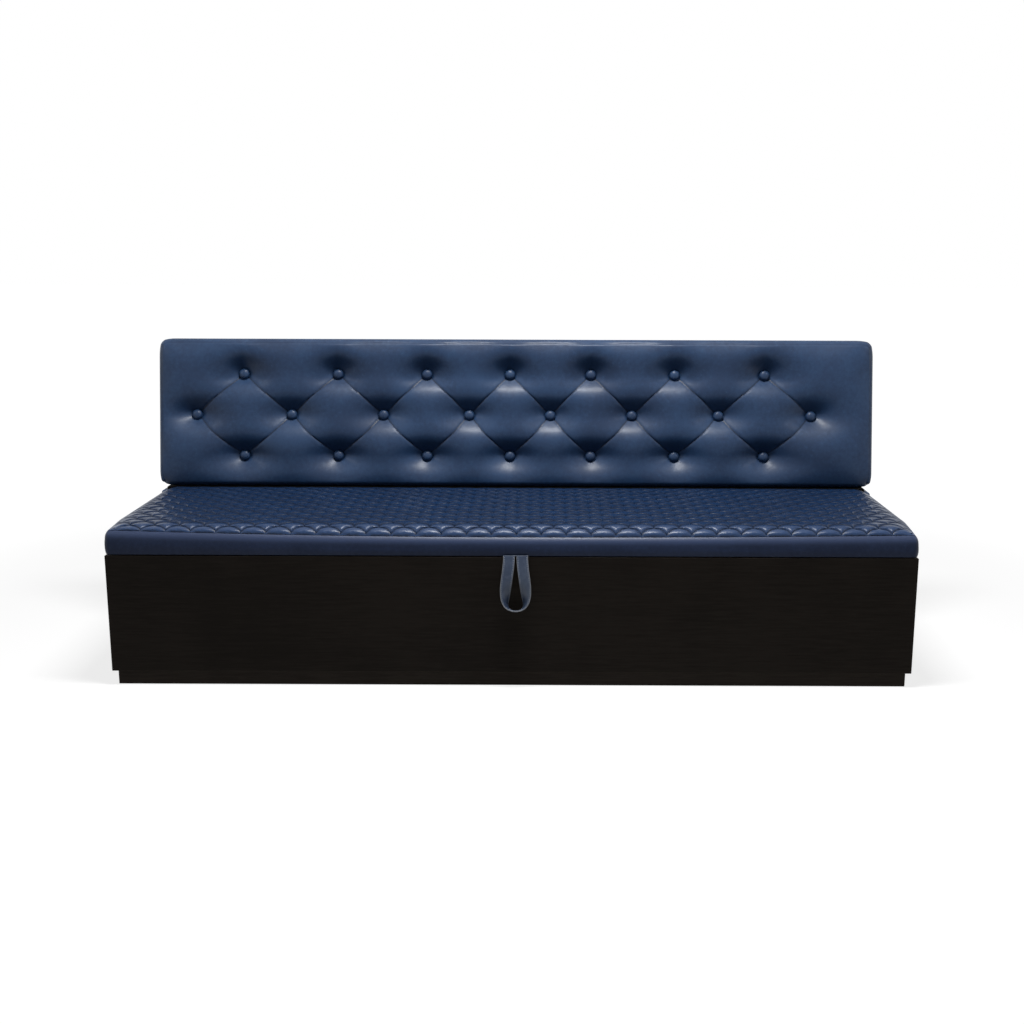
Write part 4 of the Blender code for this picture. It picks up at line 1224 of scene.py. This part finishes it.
def staple(build, x, y, turn):
    """The crown of one staple, pressed into the cloth."""
    place = Matrix.Translation((x, y, LINING_LOW.z + STAPLE_SINK)) @ Matrix.Rotation(turn, 4, "Z")
    size = Matrix.Diagonal((*STAPLE_SIZE, 1.0))
    crown = bmesh.ops.create_cube(build, size=1.0, matrix=place @ size)["verts"]
    round_off(build, {edge for vertex in crown for edge in vertex.link_edges}, STAPLE_EDGE, 1)


def strap_anchor():
    """The leather tab that holds the strap under the lid, with round rear corners and two domed rivets."""
    middle = (TAB_LOW + TAB_HIGH) / 2
    build = bmesh.new()
    block(build, TAB_LOW, TAB_HIGH)
    upright = [edge for edge in build.edges if abs(edge.verts[0].co.z - edge.verts[1].co.z) > 0.001]
    round_off(build, [edge for edge in upright if edge.verts[0].co.y > middle.y], TAB_CORNER, 6)
    flat = [edge for edge in build.edges if abs(edge.verts[0].co.z - edge.verts[1].co.z) < 0.0001]
    round_off(build, flat, TAB_EDGE, 2)
    made("strap_anchor", build, [STRAP_LEATHER], "lid", ["strap_tab"], sharp=50.0)
    build = bmesh.new()
    for side in (-1, 1):
        spot = (STRAP_TOP.x + side * STRAP_LEG, middle.y + RIVET_BACK, TAB_LOW.z)
        add_turned(build, RIVET_PROFILE, RIVET_SIDES, Matrix.Translation(spot))
    bmesh.ops.holes_fill(build, edges=boundary(build), sides=0)
    face_out(build)
    made("tab_rivets", build, [CAD_FINISHES["steel"]], "lid", sharp=60.0)


# The pull strap.
def strap_centre(share):
    """A point of the strap's middle line, from the top of one leg round the loop to the other."""
    side = -1 if share < 0.5 else 1
    step = 2 * min(share, 1 - share)
    low, top = STRAP_TOP.z - STRAP_DROP, STRAP_TOP.z + STRAP_THICKNESS / 2
    shares = ((1 - step) ** 3, 3 * step * (1 - step) ** 2, 3 * step ** 2 * (1 - step), step ** 3)
    x = side * (shares[0] * STRAP_LEG + shares[1] * STRAP_LEG + shares[2] * STRAP_BULGE)
    z = shares[0] * top + shares[1] * (top - STRAP_STEM) + shares[2] * low + shares[3] * low
    y = STRAP_TOP.y - STRAP_BOW * sin(pi / 2 * min(step / STRAP_BEND, 1.0))
    return Vector((STRAP_TOP.x + x, y, z))


def strap_turn(share):
    """How far the strap is turned about its length: half a turn from one leg's top to the other's."""
    turn = pi / 2 * eased((2 * min(share, 1 - share) - STRAP_FLAT) / (STRAP_TURNED - STRAP_FLAT))
    return turn if share < 0.5 else pi - turn


def strap_frame(share):
    """The strap's place at a share of its length, with its run, its width and its face as axes."""
    ahead = strap_centre(min(share + STRAP_NUDGE, 1.0)) - strap_centre(max(share - STRAP_NUDGE, 0.0))
    ahead.normalize()
    turn = strap_turn(share)
    width = Vector((cos(turn), sin(turn) * cos(STRAP_TILT), -sin(turn) * sin(STRAP_TILT)))
    width = (width - ahead * width.dot(ahead)).normalized()
    axes = Matrix((ahead, width, ahead.cross(width))).transposed().to_4x4()
    return Matrix.Translation(strap_centre(share)) @ axes


def pull_strap():
    """The leather loop, flat at its legs and edge-on round the bottom, with pale cut edges."""
    rows = len(STRAP_ROWS) - 1
    build = bmesh.new()
    bmesh.ops.create_grid(build, x_segments=STRAP_STEPS, y_segments=rows, size=0.5)
    for face in build.faces:
        face.material_index = 1 if abs(face.calc_center_median().y) > 0.5 - 1 / rows else 0
    for vertex in build.verts:
        out = STRAP_WIDTH * STRAP_ROWS[round((vertex.co.y + 0.5) * rows)]
        vertex.co = strap_frame(vertex.co.x + 0.5) @ Vector((0, out, 0))
    strap = made("pull_loop", build, [STRAP_LEATHER, CUT_EDGE], "strap", ["pull_strap"], sharp=50.0)
    hide = thicken(strap, "hide_thickness", STRAP_THICKNESS)
    hide.material_offset_rim = 1
    edges = strap.modifiers.new("eased_edges", "BEVEL")
    edges.width = STRAP_EDGE
    edges.segments = 2
    edges.angle_limit = radians(50)
    strap_stitches()


def strap_stitches():
    """Stitches along both edges of the strap, on both faces, half sunk in the hide."""
    build = bmesh.new()
    places = [strap_centre(step / 200) for step in range(201)]
    count = round(sum((after - before).length for before, after in zip(places, places[1:])) / STITCH_PITCH)
    size = Matrix.Diagonal((*STITCH_HALF_SIZE, 1.0))
    across = STRAP_WIDTH / 2 - STITCH_INSET
    above = STRAP_THICKNESS / 2 + STITCH_PROUD
    for step in range(1, count):
        strap = strap_frame(step / count)
        for side in (-1, 1):
            for out in (-1, 1):
                stitch = strap @ Matrix.Translation((0, side * across, out * above)) @ size
                bmesh.ops.create_icosphere(build, subdivisions=1, radius=1.0, matrix=stitch)
    made("strap_stitches", build, [THREAD], "strap")


# The stage: floor, light and camera.
def white_floor():
    """A plain pale floor that keeps the sofa's shadow and goes over into the white backdrop."""
    build = bmesh.new()
    bmesh.ops.create_grid(build, x_segments=1, y_segments=1, size=FLOOR_REACH)
    floor = placed("floor", mesh_of("floor", build))
    paper = Finish("white_paper", Roughness=1.0, Specular_IOR_Level=0.0, Emission_Strength=1.0)
    paper.set(Base_Color=(FLOOR_GREY, FLOOR_GREY, FLOOR_GREY, 1.0))
    away = paper.node("ShaderNodeVectorMath", {"operation": "LENGTH"}, {0: paper.place()}, out="Value")
    glow = paper.between(away, FLOOR_NEAR, FLOOR_FAR, FLOOR_GLOW, 1.0)
    paper.set(Emission_Color=paper.mix(paper.backdrop_rays() * glow, (0, 0, 0), (1, 1, 1)))
    floor.data.materials.append(paper.material)


def studio_world():
    """Dim even light on the sofa, and white behind it."""
    scene.world = bpy.data.worlds.new("studio")
    scene.world.use_nodes = True
    scene.world.node_tree.nodes.clear()
    sky = Tree(scene.world.node_tree)
    white = (1.0, 1.0, 1.0, 1.0)
    ambient = sky.node("ShaderNodeBackground", {}, {"Color": white, "Strength": AMBIENT})
    behind = sky.node("ShaderNodeBackground", {}, {"Color": white, "Strength": 1.0})
    chosen = sky.node("ShaderNodeMixShader", {}, {0: sky.backdrop_rays(), 1: ambient, 2: behind})
    output = sky.nodes.nodes.new("ShaderNodeOutputWorld")
    sky.fill(output.inputs["Surface"], chosen)


def softbox(name, place, target, width, depth, power):
    """A rectangular studio lamp aimed at a point."""
    lamp = bpy.data.lights.new(name, "AREA")
    lamp.shape = "RECTANGLE"
    lamp.size = width
    lamp.size_y = depth
    lamp.energy = power
    holder = placed(name, lamp)
    holder.location = place
    aim = Vector(target) - Vector(place)
    holder.rotation_euler = aim.to_track_quat("-Z", "Y").to_euler()


def photo_camera():
    """The camera at the photograph's place, a little above the back and almost square to the front."""
    camera = bpy.data.cameras.new("camera")
    camera.lens = CAMERA_LENS
    camera.sensor_width = 36.0
    camera.shift_x = CAMERA_SHIFT
    level = Vector((cos(CAMERA_YAW), -sin(CAMERA_YAW), 0.0))
    ahead = Vector((sin(CAMERA_YAW), cos(CAMERA_YAW), 0.0))
    forward = ahead * cos(CAMERA_PITCH) - Vector((0, 0, sin(CAMERA_PITCH)))
    right = level * cos(CAMERA_ROLL) + level.cross(forward) * sin(CAMERA_ROLL)
    turn = Matrix((right, right.cross(forward), -forward)).transposed().to_4x4()
    scene.camera = placed("camera", camera)
    scene.camera.matrix_world = Matrix.Translation(CAMERA_PLACE) @ turn


photo_camera()
white_floor()
studio_world()
softbox("ceiling_softbox", (0.1, -0.6, 2.7), (0.1, -0.1, 0.5), width=1.0, depth=0.5, power=64.0)
softbox("left_softbox", (-2.4, -1.2, 2.0), (-0.3, 0.1, 0.5), width=0.6, depth=0.6, power=5.0)
softbox("right_softbox", (2.4, -1.2, 2.0), (0.3, 0.1, 0.5), width=0.6, depth=0.6, power=5.0)
scene.view_settings.view_transform = "Standard"

finish_frame()
covered_buttons(tufted_back())
covered_risers()
quilted_seat()
seat_border()
dust_cover()
strap_anchor()
pull_strap()
